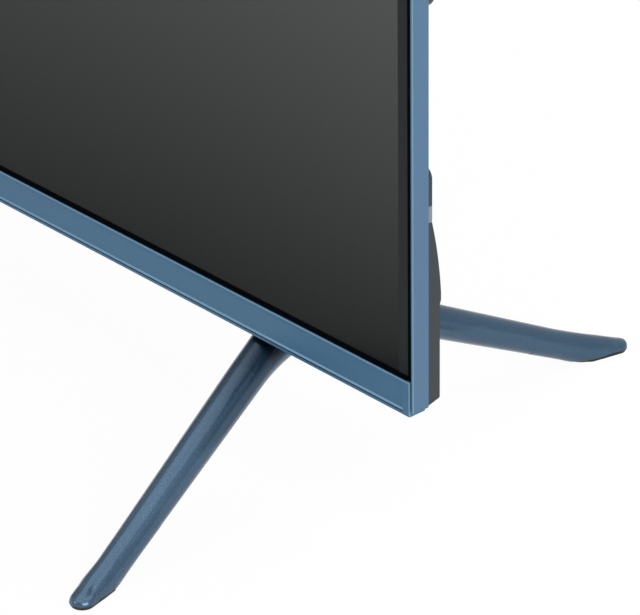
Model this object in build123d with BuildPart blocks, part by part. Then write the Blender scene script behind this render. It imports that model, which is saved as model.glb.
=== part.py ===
from build123d import *
import os
from math import atan2, cos, degrees, radians, sin, tan

# A flat screen television of the 55-inch class on two bowed legs.
# X runs to the right seen from the front, Y to the back and Z up, in millimetres.
# The origin is on the floor, midway between the legs and in the plane of their bows.
# Depths are measured back from the front face, heights up from the underside of the chin.

# Overall sizes
overall_width = 1230.0
active_width = 1209.6
active_height = 680.4
active_from_chin_bottom = 18.4
top_border = 10.2
floor_clearance = 67.5
leg_depth = 35.0
overrun = 5.0
seat_gap = 0.1

# Blue frame strips and the chin
strip_wall = 1.45
strip_depth = 8.9
strip_foot = 2.7
strip_flange = 9.0
strip_edge_round = 0.6
chin_height = 16.5
chin_wall = 1.5
chin_end_gap = 0.75
chin_end_round = 0.9
chin_border = 4.0
chin_recess = 0.55
chin_ridge_height = 2.3
chin_ridge_slope = 0.7
chin_groove_foot = 1.6
chin_groove_height = 0.45
chin_groove_depth = 0.6
chin_edge_round = 0.6
chin_top_border = 1.1
chin_hook_height = 9.0
chin_notch_width = 12.0
chin_notch_depth = 4.0

# Glass cell, sheets and light guide, from front to back
glass_depth = 1.6
glass_thickness = 1.4
glass_side_gap = 3.35
glass_foot = 10.0
seal_thickness = 0.7
seal_gap = 0.1
tape_thickness = 0.4
tape_width = 3.0
ledge_thickness = 0.5
active_margin = 0.4
sheets_thickness = 0.6
guide_thickness = 2.0
guide_margin = 1.4
guide_foot = 15.0
reflector_thickness = 0.25
pan_thickness = 1.0
rail_gap = 0.15
rail_guide_gap = 0.3

# Light bar below the guide
led_bar_thickness = 1.1
led_height = 1.6
led_length = 5.6
led_width = 1.2
led_pitch = 30.0
led_gap = 0.2
led_end_margin = 6.0

# Backlight pan and its stamped beads
pan_side_margin = 2.0
pan_foot = 6.0
bead_rise = 1.4
bead_width = 16.0
bead_sheet = 1.0
bead_count = 5
bead_side_margin = 70.0
bead_first_height = 400.0
bead_pitch = 64.0

# Drive boards along the foot of the glass
source_board_thickness = 1.2
source_board_foot = 1.5
source_board_top = 9.3
source_board_inner_end = 20.0
source_board_outer_end = 590.0
film_thickness = 0.15
film_width = 30.0
film_lap = 1.4
film_drop = 3.2
film_count = 4

# Pads along the back of the side strips
low_pad_width = 14.0
low_pad_foot = 88.2
low_pad_top = 113.0
low_pad_rise = 4.3
low_pad_round = 6.5
high_pad_width = 20.0
high_pad_height = 60.0
high_pad_rise = 6.0
high_pad_round = 8.0
high_pad_centre = 211.0
high_pad_pitch = 106.7
high_pad_count = 4
pad_edge_inset = 0.8
pad_dome = 1.6
pad_recess_radius = 3.6
pad_recess_depth = 1.4
corner_plate_inset = 2.5
corner_plate_leg = 58.0
corner_plate_width = 8.0
corner_plate_thickness = 1.2
plate_screw_share = 0.8

# Rear cover: a full-width skirt and a deep housing in one moulding
cover_front = 9.1
cover_wall = 2.5
skirt_depth = 16.1
skirt_side_inset = 0.8
skirt_foot = 2.7
skirt_straight_top = 48.5
skirt_step = 0.65
skirt_step_height = 2.0
skirt_swell_top = 54.0
skirt_bend_depth = 14.95
skirt_bend_height = 71.0
skirt_top_depth = 11.6
skirt_top = 88.0
skirt_round = 0.8
skirt_rake = 14.0
housing_depth = 70.0
housing_half_width = 577.0
housing_side_taper = 22.0
housing_foot_front = 4.5
housing_foot_back = 13.0
housing_top_front = 352.0
housing_top_back = 325.0
housing_side_lean = 0.19
housing_corner_round = 16.0
housing_back_round = 4.0

# Socket bays at both sides of the housing
bay_wall_x = 440.0
bay_floor_depth = 19.0
bay_foot = 97.5
socket_bay_height = 140.0
mains_bay_height = 72.0

# Louvres, grilles and screw wells of the rear cover
louvre_pitch = 7.0
louvre_opening = 3.0
louvre_blade_depth = 6.0
louvre_rows = 6
louvre_columns = 5
louvre_length = 38.0
louvre_rib = 5.0
louvre_bank_x = 300.0
louvre_bank_height = 255.0
louvre_lean = 30.0
top_vent_width = 4.0
top_vent_pitch = 11.0
top_vent_count = 18
top_vent_front = 24.0
top_vent_back = 52.0
top_vent_x = 190.0
top_vent_drop = 10.0
grille_slot_width = 3.0
grille_slot_pitch = 7.0
grille_slot_count = 18
grille_front = 22.0
grille_back = 50.0
well_radius = 5.0
well_floor = 6.0
well_hole_radius = 2.1
well_screw_radius = 2.0
well_screw_head_radius = 4.2
well_screw_head_height = 2.4
well_low_share = (0.17, 0.381, 0.79)
well_high_share = (0.13, 0.62)
well_low_height = 32.0
well_top_drop = 22.0

# Wall-mount inserts
vesa_width = 300.0
vesa_height = 200.0
vesa_foot = 110.0
insert_radius = 7.0
insert_hole_radius = 3.0
insert_hole_depth = 22.0
insert_sink = 0.3
insert_clearance = 0.5

# Legs
leg_toe_x = 543.5
leg_toe_reach = 152.2
leg_lean = 26.67
leg_pitch = 27.886
bow_radius = 92.5
bow_bar_radius = 8.3
toe_bar_radius = 6.3
leg_toe_overrun = 20.0
pad_thickness = 1.0
pad_end_inset = 0.4
sole_length = 25.6
sole_width = 11.2
sole_shift = 0.8
sole_offset = 1.0
sole_top = 4.4
sole_round = 2.6
head_width = 14.0
head_length = 44.0
head_round = 4.0
head_top = 16.0
head_clearance = 0.5
leg_screw_spacing = 28.0
leg_screw_radius = 2.5
leg_screw_head_radius = 4.4
leg_screw_head_height = 3.4
leg_screw_clearance = 0.25
leg_counterbore_top = 11.0
leg_screw_grip = 15.0

# Steel brackets that carry the legs
bracket_width = 50.0
bracket_sheet = 2.5
bracket_plate_height = 62.0
bracket_reach = 60.0
bracket_nut_radius = 6.0
bracket_nut_height = 14.0
bracket_screw_fit = 0.05
gusset_height = 34.0

# Circuit boards in the housing
board_depth = 22.0
board_thickness = 1.6
board_gap_to_bay = 0.5
main_board_inner_x = 232.0
main_board_foot = 84.0
main_board_top = 288.0
main_board_wing_x = 500.0
main_board_notch_gap = 3.0
power_board_inner_x = 240.0
power_board_foot = 84.0
power_board_top = 288.0
chip_size = 32.0
chip_thickness = 2.2
chip_x = 330.0
chip_height = 205.0
memory_width = 9.0
memory_length = 14.0
memory_thickness = 1.2
memory_pitch = 17.0
memory_offset = 32.0
tuner_width = 30.0
tuner_length = 46.0
tuner_thickness = 9.0
sink_size = 48.0
sink_base = 3.0
sink_fin_height = 15.0
sink_fin_thickness = 1.6
sink_fin_count = 8
transformer_width = 42.0
transformer_length = 48.0
transformer_height = 26.0
transformer_core_share = 0.6
transformer_x = -330.0
transformer_z = 190.0
capacitor_radius = 9.0
capacitor_height = 30.0
capacitor_pitch = 24.0
capacitor_count = 3
capacitor_x = -395.0
capacitor_z = 225.0
power_sink_width = 70.0
power_sink_thickness = 3.0
power_sink_height = 30.0
power_sink_x = -300.0
power_sink_z = 130.0
choke_radius = 13.0
choke_bore = 6.0
choke_height = 14.0
choke_x = -380.0
choke_z = 120.0
tcon_width = 176.0
tcon_foot = 60.0
tcon_height = 52.0
tcon_depth = 14.0
wifi_width = 42.0
wifi_height = 26.0
wifi_x = -170.0
wifi_foot = 30.0
post_radius = 3.2
post_hole_radius = 1.55
post_hole_depth = 5.0
post_inset = 6.0
board_hole_radius = 1.7
board_screw_radius = 1.5
board_screw_head_radius = 3.0
board_screw_head_height = 1.8
board_screw_grip = 4.0

# Sockets
hdmi_width = 15.0
hdmi_height = 5.6
hdmi_length = 12.0
hdmi_shell = 0.5
hdmi_tongue = 1.2
hdmi_tongue_share = 0.8
hdmi_count = 3
hdmi_pitch = 24.0
hdmi_first_height = 112.0
usb_width = 13.1
usb_height = 5.7
usb_length = 14.0
usb_tongue = 1.9
usb_tongue_share = 0.84
usb_count = 2
usb_pitch = 20.0
usb_first_height = 186.0
socket_proud = 1.0
socket_wall_gap = 0.2
jack_radius = 3.4
jack_bore = 1.75
jack_length = 12.0
jack_height = 222.0
lan_width = 16.0
lan_height = 13.5
lan_length = 18.0
lan_mouth_width = 12.0
lan_mouth_height = 8.2
lan_mouth_depth = 12.0
lan_latch_width = 6.0
lan_x = 470.0
aerial_body = 12.0
aerial_length = 16.0
aerial_radius = 4.75
aerial_bore = 3.6
aerial_nose = 9.0
aerial_x = 493.0
aerial_pin_radius = 0.8
optical_width = 9.6
optical_height = 9.6
optical_length = 14.0
optical_shutter = 5.2
optical_shutter_depth = 0.6
optical_x = 452.0
inlet_width = 27.0
inlet_height = 17.0
inlet_length = 24.0
inlet_mouth_width = 16.6
inlet_mouth_height = 8.4
inlet_mouth_depth = 15.0
inlet_pin_radius = 1.2
inlet_pin_spacing = 8.6
inlet_pin_length = 12.0
inlet_bay_share = 0.5
quarter_turn = 90.0

# Speakers
speaker_length = 170.0
speaker_height = 44.0
speaker_depth = 40.0
speaker_x = 330.0
speaker_foot = 20.0
speaker_front = 12.0
speaker_round = 6.0
speaker_lug = 12.0
speaker_lug_thickness = 3.0
cone_radius = 16.0
cone_rim = 2.5
cone_rise = 1.2
cone_dust_cap = 6.0
cone_x_share = 0.28
grommet_radius = 5.0
grommet_bore = 2.6

# Cables inside the housing
ribbon_thickness = 0.4
panel_ribbon_width = 24.0
panel_ribbon_x = 62.0
ribbon_rise = 3.0
ribbon_lap = 10.0
lead_radius = 2.2
lead_bend = 9.0
cable_room = 0.6
display_cable_foot = 93.6
display_cable_width = 8.0
harness_height = 200.0
harness_end_x = 262.0
harness_rise_x = 222.0
harness_low_x = 205.0
harness_clearance = 0.5
lead_clearance = 0.4
led_lead_x = -120.0
led_lead_depth = 18.0
led_lead_turn = 60.0
led_lead_across_x = -150.0
led_lead_board_height = 100.0
led_lead_end_x = -262.0
speaker_lead_start = 100.0
speaker_lead_run = 74.0
speaker_lead_x = 256.0
plug_length = 8.0
plug_width = 9.0
plug_height = 6.0

# Sensor pod and power key under the chin
pod_width = 46.0
pod_depth = 7.4
pod_front = 1.2
pod_drop = 6.5
pod_wall = 1.2
pod_round = 2.0
window_width = 14.0
window_height = 3.6
window_x = -10.0
window_thickness = 1.0
key_x = 9.0
key_length = 12.0
key_width = 3.6
key_round = 1.2
key_clearance = 0.3
key_proud = 1.0
key_travel = 0.8
key_stem_radius = 1.6
key_flange = 1.2
key_flange_thickness = 0.8
key_board_thickness = 1.0
key_board_length = 40.0
receiver_size = 3.0
receiver_height = 2.2
switch_size = 4.6
switch_height = 0.9
switch_gap = 0.05

# Values that follow from the sizes above
front_y = -leg_depth
half_width = overall_width / 2
inner_half = half_width - strip_wall
active_half = active_width / 2
active_top = active_from_chin_bottom + active_height
body_height = active_top + top_border
inner_top = body_height - strip_wall
chin_half = inner_half - chin_end_gap
glass_half = inner_half - glass_side_gap
glass_top = inner_top - glass_side_gap
glass_back = glass_depth + glass_thickness
ledge_front = glass_back + tape_thickness
sheets_front = ledge_front + ledge_thickness + seat_gap
guide_front = sheets_front + sheets_thickness
reflector_front = guide_front + guide_thickness
pan_front = reflector_front + reflector_thickness + seat_gap
pan_back = pan_front + pan_thickness
source_board_front = glass_back + film_thickness
guide_half = active_half + guide_margin
guide_top = active_top + guide_margin
rail_outer = inner_half - rail_gap
rail_top = inner_top - rail_gap
rail_inner = guide_half + rail_guide_gap
led_top = guide_foot - led_gap
led_bar_top = led_top - led_height
led_bar_foot = led_bar_top - led_bar_thickness
pan_half = inner_half - pan_side_margin
pan_top = inner_top - pan_side_margin
board_back = board_depth + board_thickness
insert_heights = (vesa_foot, vesa_foot + vesa_height)
bay_socket_top = bay_foot + socket_bay_height
bay_mains_top = bay_foot + mains_bay_height
inlet_centre = bay_foot + inlet_bay_share * mains_bay_height
hdmi_heights = [hdmi_first_height + i * hdmi_pitch for i in range(hdmi_count)]
usb_heights = [usb_first_height + i * usb_pitch for i in range(usb_count)]
source_back = source_board_front + source_board_thickness
slot_height = (source_board_top + rail_guide_gap + led_bar_foot - seat_gap) / 2
led_lead_height = (led_bar_foot + led_bar_top) / 2

# The bow of each leg lies in a plane that leans outward: its sag and the point of its top
leg_drop = leg_toe_reach * tan(radians(leg_pitch))
leg_corner_x = leg_toe_x - leg_drop * sin(radians(leg_lean))
leg_corner_z = leg_drop * cos(radians(leg_lean))
bow_sag = bow_radius / cos(radians(leg_pitch)) - bow_radius
apex_x = leg_corner_x + bow_sag * sin(radians(leg_lean))
apex_z = leg_corner_z - bow_sag * cos(radians(leg_lean))
apex_height = apex_z - floor_clearance

# Places of the rear cover's screws: X and height of each
well_high = housing_top_back - well_top_drop
well_floor_depth = cover_front + well_floor
well_places = []
for side in (-1, 1):
    well_places += [(side * share * housing_half_width, well_low_height) for share in well_low_share]
    well_places += [(side * share * housing_half_width, well_high) for share in well_high_share]


# Helpers that place sketches and boxes

def level(height):
    """Height above the floor of a height above the chin's underside."""
    return floor_clearance + height


def upright(depth):
    """Plane facing the front at a depth: local x is X, local y is height above the chin's foot."""
    return Plane(origin=(0, front_y + depth, floor_clearance), x_dir=(1, 0, 0), z_dir=(0, -1, 0))


def flat(height):
    """Level plane at a height above the chin's underside: local x is X, local y is depth."""
    return Plane(origin=(0, front_y, level(height)), x_dir=(1, 0, 0), z_dir=(0, 0, 1))


def side_on(x):
    """Plane facing +X: local x is depth, local y is height above the chin's underside."""
    return Plane(origin=(x, front_y, floor_clearance), x_dir=(0, 1, 0), z_dir=(1, 0, 0))


def block(xs, depths, heights, mode=Mode.ADD):
    """Box between pairs of X, depth and height values."""
    with BuildSketch(upright(depths[0])) as face:
        with Locations(((xs[0] + xs[1]) / 2, (heights[0] + heights[1]) / 2)):
            Rectangle(xs[1] - xs[0], heights[1] - heights[0])
    extrude(face.sketch, amount=depths[0] - depths[1], mode=mode)


def rod(x, height, depths, radius, mode=Mode.ADD):
    """Round bar or hole that runs front to back between two depths."""
    with BuildSketch(upright(depths[0])) as face:
        with Locations((x, height)):
            Circle(radius)
    extrude(face.sketch, amount=depths[0] - depths[1], mode=mode)


def post(x, depth, heights, radius, mode=Mode.ADD):
    """Round bar or hole that stands upright between two heights."""
    with BuildSketch(flat(heights[0])) as face:
        with Locations((x, depth)):
            Circle(radius)
    extrude(face.sketch, amount=heights[1] - heights[0], mode=mode)


def spindle(depth, height, xs, radius, mode=Mode.ADD):
    """Round bar or hole that runs along X between two X values."""
    with BuildSketch(side_on(xs[0])) as face:
        with Locations((depth, height)):
            Circle(radius)
    extrude(face.sketch, amount=xs[1] - xs[0], mode=mode)


def spot(x, depth, height):
    """Point in the shared frame for an X, a depth and a height."""
    return (x, front_y + depth, level(height))


os.makedirs("parts", exist_ok=True)


# Chin: an extruded channel with a shallow framed face, a ridge and a groove under it
with BuildPart() as chin_panel:
    with BuildSketch(side_on(-chin_half)) as channel:
        with BuildLine():
            Polyline(
                (0, 0),
                (strip_depth, 0),
                (strip_depth, chin_hook_height),
                (pan_back, chin_hook_height),
                (pan_back, chin_wall),
                (chin_wall, chin_wall),
                (chin_wall, chin_height),
                (0, chin_height),
                close=True,
            )
        make_face()
    extrude(amount=2 * chin_half)
    front_edges = chin_panel.edges().group_by(Axis.Y)[0]
    fillet(front_edges.filter_by(Axis.Z), radius=chin_end_round)
    front_edges = chin_panel.edges().group_by(Axis.Y)[0]
    fillet(front_edges.filter_by(Axis.X), radius=chin_edge_round)
    # Shallow field with sloping walls that meet in mitres, and the groove under its ridge
    field_low = chin_ridge_height
    field_high = chin_height - chin_top_border
    with BuildSketch(upright(0)) as field_mouth:
        with Locations((0, (field_low + field_high) / 2)):
            Rectangle(2 * (chin_half - chin_border), field_high - field_low)
    with BuildSketch(upright(chin_recess)) as field_floor:
        with Locations((0, (field_low + field_high) / 2)):
            Rectangle(
                2 * (chin_half - chin_border - chin_ridge_slope),
                field_high - field_low - 2 * chin_ridge_slope,
            )
    loft([field_mouth.sketch, field_floor.sketch], ruled=True, mode=Mode.SUBTRACT)
    block(
        (-chin_half + chin_border, chin_half - chin_border),
        (-overrun, chin_groove_depth),
        (chin_groove_foot, chin_groove_foot + chin_groove_height),
        mode=Mode.SUBTRACT,
    )
    # Notches in the underside that clear the tops of the legs
    for centre in (-apex_x, apex_x):
        block(
            (centre - chin_notch_width / 2, centre + chin_notch_width / 2),
            (strip_depth - chin_notch_depth, strip_depth + overrun),
            (-overrun, chin_wall),
            mode=Mode.SUBTRACT,
        )
chin_panel.part.label = "chin_panel"
export_step(chin_panel.part, "parts/chin_panel.step")


# Side strips: an outer wall with a rounded front edge and a flange behind the pan
with BuildPart() as side_frame_right:
    with BuildSketch(flat(strip_foot)) as strip_profile:
        with BuildLine():
            Polyline(
                (inner_half, 0),
                (half_width, 0),
                (half_width, strip_depth),
                (half_width - strip_flange, strip_depth),
                (half_width - strip_flange, pan_back),
                (inner_half, pan_back),
                close=True,
            )
        make_face()
        fillet(strip_profile.vertices().group_by(Axis.Y)[0], radius=strip_edge_round)
    extrude(amount=body_height - strip_foot)
    block(
        (half_width - strip_flange - overrun, inner_half),
        (pan_back, strip_depth + overrun),
        (0, chin_hook_height + seat_gap),
        mode=Mode.SUBTRACT,
    )
side_frame_right.part.label = "side_frame_right"
export_step(side_frame_right.part, "parts/side_frame_right.step")

with BuildPart() as side_frame_left:
    mirror(side_frame_right.part, about=Plane.YZ)
side_frame_left.part.label = "side_frame_left"
export_step(side_frame_left.part, "parts/side_frame_left.step")


# Top strip: the same profile between the side strips, cut back round their flanges
with BuildPart() as top_frame:
    with BuildSketch(side_on(-inner_half)) as top_profile:
        with BuildLine():
            Polyline(
                (0, inner_top),
                (0, body_height),
                (strip_depth, body_height),
                (strip_depth, body_height - strip_flange),
                (pan_back, body_height - strip_flange),
                (pan_back, inner_top),
                close=True,
            )
        make_face()
        fillet(top_profile.vertices().group_by(Axis.X)[0], radius=strip_edge_round)
    extrude(amount=2 * inner_half)
    for side in (-1, 1):
        near, far = sorted((side * (half_width - strip_flange - seat_gap), side * half_width))
        block(
            (near, far),
            (pan_back - seat_gap, strip_depth + overrun),
            (body_height - strip_flange - overrun, body_height + overrun),
            mode=Mode.SUBTRACT,
        )
        inner, outer = sorted((side * (inner_half - seat_gap), side * half_width))
        block(
            (inner, outer),
            (-overrun, strip_depth + overrun),
            (inner_top - overrun, body_height + overrun),
            mode=Mode.SUBTRACT,
        )
top_frame.part.label = "top_frame"
export_step(top_frame.part, "parts/top_frame.step")


# Glass cell of the picture
with BuildPart() as screen_panel:
    block((-glass_half, glass_half), (glass_depth, glass_back), (glass_foot, glass_top))
screen_panel.part.label = "screen_panel"
export_step(screen_panel.part, "parts/screen_panel.step")


# Foam seal in front of the glass, along the top of the chin
with BuildPart() as glass_seal:
    block(
        (-glass_half, glass_half),
        (glass_depth - seal_thickness, glass_depth),
        (chin_height, active_from_chin_bottom - seal_gap),
    )
glass_seal.part.label = "glass_seal"
export_step(glass_seal.part, "parts/glass_seal.step")


# Foam tape between the glass and the ledge of the middle frame
ledge_half = active_half + active_margin
ledge_top = active_top + active_margin
with BuildPart() as panel_tape:
    for side in (-1, 1):
        near, far = sorted((side * ledge_half, side * (ledge_half + tape_width)))
        block((near, far), (glass_back, ledge_front), (active_from_chin_bottom, ledge_top))
    block(
        (-ledge_half, ledge_half),
        (glass_back, ledge_front),
        (ledge_top + seat_gap, ledge_top + tape_width),
    )
    block(
        (-ledge_half, ledge_half),
        (glass_back, ledge_front),
        (active_from_chin_bottom - active_margin - tape_width, active_from_chin_bottom - active_margin),
    )
panel_tape.part.label = "panel_tape"
export_step(panel_tape.part, "parts/panel_tape.step")


# Middle frame: four rails with a ledge that the glass is taped to
with BuildPart() as mid_frame:
    for side in (-1, 1):
        near, far = sorted((side * rail_inner, side * rail_outer))
        block((near, far), (ledge_front, pan_front), (guide_foot, guide_top))
        near, far = sorted((side * ledge_half, side * rail_inner))
        block((near, far), (ledge_front, ledge_front + ledge_thickness), (guide_foot, guide_top))
    top_rail_foot = guide_top + rail_guide_gap
    block((-rail_outer, rail_outer), (ledge_front, pan_front), (top_rail_foot, rail_top))
    block(
        (-ledge_half + seat_gap, ledge_half - seat_gap),
        (ledge_front, ledge_front + ledge_thickness),
        (ledge_top, top_rail_foot),
    )
    rail_foot_top = led_bar_foot - seat_gap
    block(
        (-rail_outer, rail_outer),
        (ledge_front, pan_front),
        (source_board_top + rail_guide_gap, rail_foot_top),
    )
    block(
        (-ledge_half + seat_gap, ledge_half - seat_gap),
        (ledge_front, ledge_front + ledge_thickness),
        (rail_foot_top, active_from_chin_bottom - active_margin),
    )
    # Notches in the lower rail for the two flat cables
    for side in (-1, 1):
        centre = side * panel_ribbon_x
        half = panel_ribbon_width / 2 + cable_room
        block(
            (centre - half, centre + half),
            (source_board_front + source_board_thickness - seat_gap, pan_front + overrun),
            (source_board_top, slot_height + cable_room),
            mode=Mode.SUBTRACT,
        )
mid_frame.part.label = "mid_frame"
export_step(mid_frame.part, "parts/mid_frame.step")


# Sheets, light guide and reflector behind the glass
with BuildPart() as diffuser_sheets:
    block((-guide_half, guide_half), (sheets_front, guide_front), (guide_foot, guide_top))
diffuser_sheets.part.label = "diffuser_sheets"
export_step(diffuser_sheets.part, "parts/diffuser_sheets.step")

with BuildPart() as light_guide:
    block((-guide_half, guide_half), (guide_front, reflector_front), (guide_foot, guide_top))
light_guide.part.label = "light_guide"
export_step(light_guide.part, "parts/light_guide.step")

with BuildPart() as reflector_sheet:
    block(
        (-guide_half, guide_half),
        (reflector_front, reflector_front + reflector_thickness),
        (guide_foot, guide_top),
    )
reflector_sheet.part.label = "reflector_sheet"
export_step(reflector_sheet.part, "parts/reflector_sheet.step")


# Light bar: a board with a row of lamps that shine up into the guide's edge
led_bar_half = guide_half - led_end_margin
led_count = int(2 * led_bar_half / led_pitch)
led_centre_depth = (guide_front + reflector_front) / 2
with BuildPart() as led_bar:
    block(
        (-led_bar_half, led_bar_half),
        (guide_front, pan_front - seat_gap),
        (led_bar_foot, led_bar_top),
    )
    with BuildSketch(flat(led_bar_top)) as lamps:
        with Locations((0, led_centre_depth)):
            with GridLocations(led_pitch, led_pitch, led_count, 1):
                Rectangle(led_length, led_width)
    extrude(amount=led_height)
led_bar.part.label = "led_bar"
export_step(led_bar.part, "parts/led_bar.step")


# Backlight pan: a steel sheet with stamped stiffening beads across its upper back
with BuildPart() as backlight_pan:
    block((-pan_half, pan_half), (pan_front, pan_back), (pan_foot, pan_top))
    bead_length = 2 * (pan_half - bead_side_margin)
    bead_centres = [(0, bead_first_height + i * bead_pitch) for i in range(bead_count)]
    with BuildSketch(upright(pan_back)) as bead_outer:
        with Locations(*bead_centres):
            SlotOverall(bead_length, bead_width)
    extrude(amount=-bead_rise)
    with BuildSketch(upright(pan_front)) as bead_inner:
        with Locations(*bead_centres):
            SlotOverall(bead_length - 2 * bead_sheet, bead_width - 2 * bead_sheet)
    extrude(amount=-bead_rise, mode=Mode.SUBTRACT)
    # Holes for the cover's screws and the light bar's lead, slots for the flat cables
    through = (pan_front - overrun, pan_back + overrun)
    for x, height in well_places:
        rod(x, height, through, well_screw_radius + bracket_screw_fit, mode=Mode.SUBTRACT)
    rod(led_lead_x, led_lead_height, through, lead_radius + seat_gap, mode=Mode.SUBTRACT)
    for side in (-1, 1):
        centre = side * panel_ribbon_x
        half = panel_ribbon_width / 2 + cable_room
        block(
            (centre - half, centre + half),
            through,
            (slot_height - cable_room, slot_height + cable_room),
            mode=Mode.SUBTRACT,
        )
backlight_pan.part.label = "backlight_pan"
export_step(backlight_pan.part, "parts/backlight_pan.step")


# Drive boards at the foot of the glass, with the films that join them to it
with BuildPart() as source_boards:
    for side in (-1, 1):
        near, far = sorted((side * source_board_inner_end, side * source_board_outer_end))
        block(
            (near, far),
            (source_board_front, source_board_front + source_board_thickness),
            (source_board_foot, source_board_top),
        )
source_boards.part.label = "source_boards"
export_step(source_boards.part, "parts/source_boards.step")

film_run = (source_board_outer_end - source_board_inner_end) / film_count
film_height = glass_foot + film_lap - film_drop / 2
film_places = []
for i in range(film_count):
    film_x = source_board_inner_end + (2 * i + 1) * film_run / 2
    film_places += [(-film_x, film_height), (film_x, film_height)]
with BuildPart() as column_films:
    with BuildSketch(upright(glass_back)) as films:
        with Locations(*film_places):
            Rectangle(film_width, film_drop)
    extrude(amount=-film_thickness)
column_films.part.label = "column_films"
export_step(column_films.part, "parts/column_films.step")


# Pads down the back of both side strips, each with a bevelled back and a screw recess
low_pad_height = low_pad_top - low_pad_foot
low_pad_x = half_width - pad_edge_inset - low_pad_width / 2
high_pad_x = half_width - pad_edge_inset - high_pad_width / 2
low_pad_places = [(side * low_pad_x, low_pad_foot + low_pad_height / 2) for side in (-1, 1)]
high_pad_heights = [high_pad_centre + i * high_pad_pitch for i in range(high_pad_count)]
high_pad_places = [(side * high_pad_x, height) for height in high_pad_heights for side in (-1, 1)]
with BuildPart() as edge_pads:
    with BuildSketch(upright(strip_depth)) as low_pads:
        with Locations(*low_pad_places):
            Rectangle(low_pad_width, low_pad_height)
        fillet(low_pads.vertices().group_by(Axis.Y)[-1], radius=low_pad_round)
    extrude(amount=-low_pad_rise)
    chamfer(edge_pads.faces().group_by(Axis.Y)[-1].edges(), length=pad_dome)
    with BuildSketch(upright(strip_depth)) as high_pads:
        with Locations(*high_pad_places):
            RectangleRounded(high_pad_width, high_pad_height, radius=high_pad_round)
    extrude(amount=-high_pad_rise)
    chamfer(edge_pads.faces().group_by(Axis.Y)[-1].edges(), length=pad_dome)
    for places, rise in ((low_pad_places, low_pad_rise), (high_pad_places, high_pad_rise)):
        with BuildSketch(upright(strip_depth + rise)) as pad_recess:
            with Locations(*places):
                Circle(pad_recess_radius)
        extrude(amount=pad_recess_depth, mode=Mode.SUBTRACT)
edge_pads.part.label = "edge_pads"
export_step(edge_pads.part, "parts/edge_pads.step")


# Plates that join the strips at the two top corners
plate_half = half_width - corner_plate_inset
plate_top = body_height - corner_plate_inset
with BuildPart() as corner_plates:
    for side in (-1, 1):
        with BuildSketch(upright(strip_depth)) as elbow:
            with BuildLine():
                Polyline(
                    (side * plate_half, plate_top),
                    (side * plate_half, plate_top - corner_plate_leg),
                    (side * (plate_half - corner_plate_width), plate_top - corner_plate_leg),
                    (side * (plate_half - corner_plate_width), plate_top - corner_plate_width),
                    (side * (plate_half - corner_plate_leg), plate_top - corner_plate_width),
                    (side * (plate_half - corner_plate_leg), plate_top),
                    close=True,
                )
            make_face()
            fillet(elbow.vertices(), radius=corner_plate_thickness)
        extrude(amount=-corner_plate_thickness)
corner_plates.part.label = "corner_plates"
export_step(corner_plates.part, "parts/corner_plates.step")


# Screw heads in the pads and on the corner plates
frame_screw_radius = pad_recess_radius - 2 * seat_gap
plate_screw_radius = plate_screw_share * frame_screw_radius
plate_mid = corner_plate_width / 2
plate_reach = corner_plate_leg - corner_plate_width
plate_screw_places = []
for side in (-1, 1):
    plate_screw_places.append((side * (plate_half - plate_mid), plate_top - plate_reach))
    plate_screw_places.append((side * (plate_half - plate_reach), plate_top - plate_mid))
with BuildPart() as frame_screws:
    for places, rise in ((low_pad_places, low_pad_rise), (high_pad_places, high_pad_rise)):
        with BuildSketch(upright(strip_depth + rise - pad_recess_depth)) as pad_heads:
            with Locations(*places):
                Circle(frame_screw_radius)
        extrude(amount=-(pad_recess_depth - seat_gap))
    with BuildSketch(upright(strip_depth + corner_plate_thickness)) as plate_heads:
        with Locations(*plate_screw_places):
            Circle(plate_screw_radius)
    extrude(amount=-corner_plate_thickness)
frame_screws.part.label = "frame_screws"
export_step(frame_screws.part, "parts/frame_screws.step")


# Rear cover

def housing_outline(depth, inset):
    """Trapezoid of the housing at a depth, drawn in by an inset on every side."""
    share = (depth - cover_front) / (housing_depth - cover_front)
    foot = housing_foot_front + share * (housing_foot_back - housing_foot_front) + inset
    top = housing_top_front + share * (housing_top_back - housing_top_front) - inset
    low_half = housing_half_width - share * housing_side_taper - inset
    high_half = low_half - housing_side_lean * (top - foot)
    with BuildSketch(upright(depth)) as outline:
        with BuildLine():
            Polyline(
                (-low_half, foot),
                (low_half, foot),
                (high_half, top),
                (-high_half, top),
                close=True,
            )
        make_face()
    return outline.sketch


insert_places = [(side * vesa_width / 2, height) for height in insert_heights for side in (-1, 1)]
skirt_half = half_width - skirt_side_inset
louvre_bank_half = (louvre_length + louvre_rib) * louvre_columns / 2
louvre_bank_low = louvre_bank_height - louvre_pitch * louvre_rows / 2
louvre_rise = (louvre_blade_depth + 2 * cover_wall) * tan(radians(louvre_lean))
bays = ((1, bay_socket_top), (-1, bay_mains_top))

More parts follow.
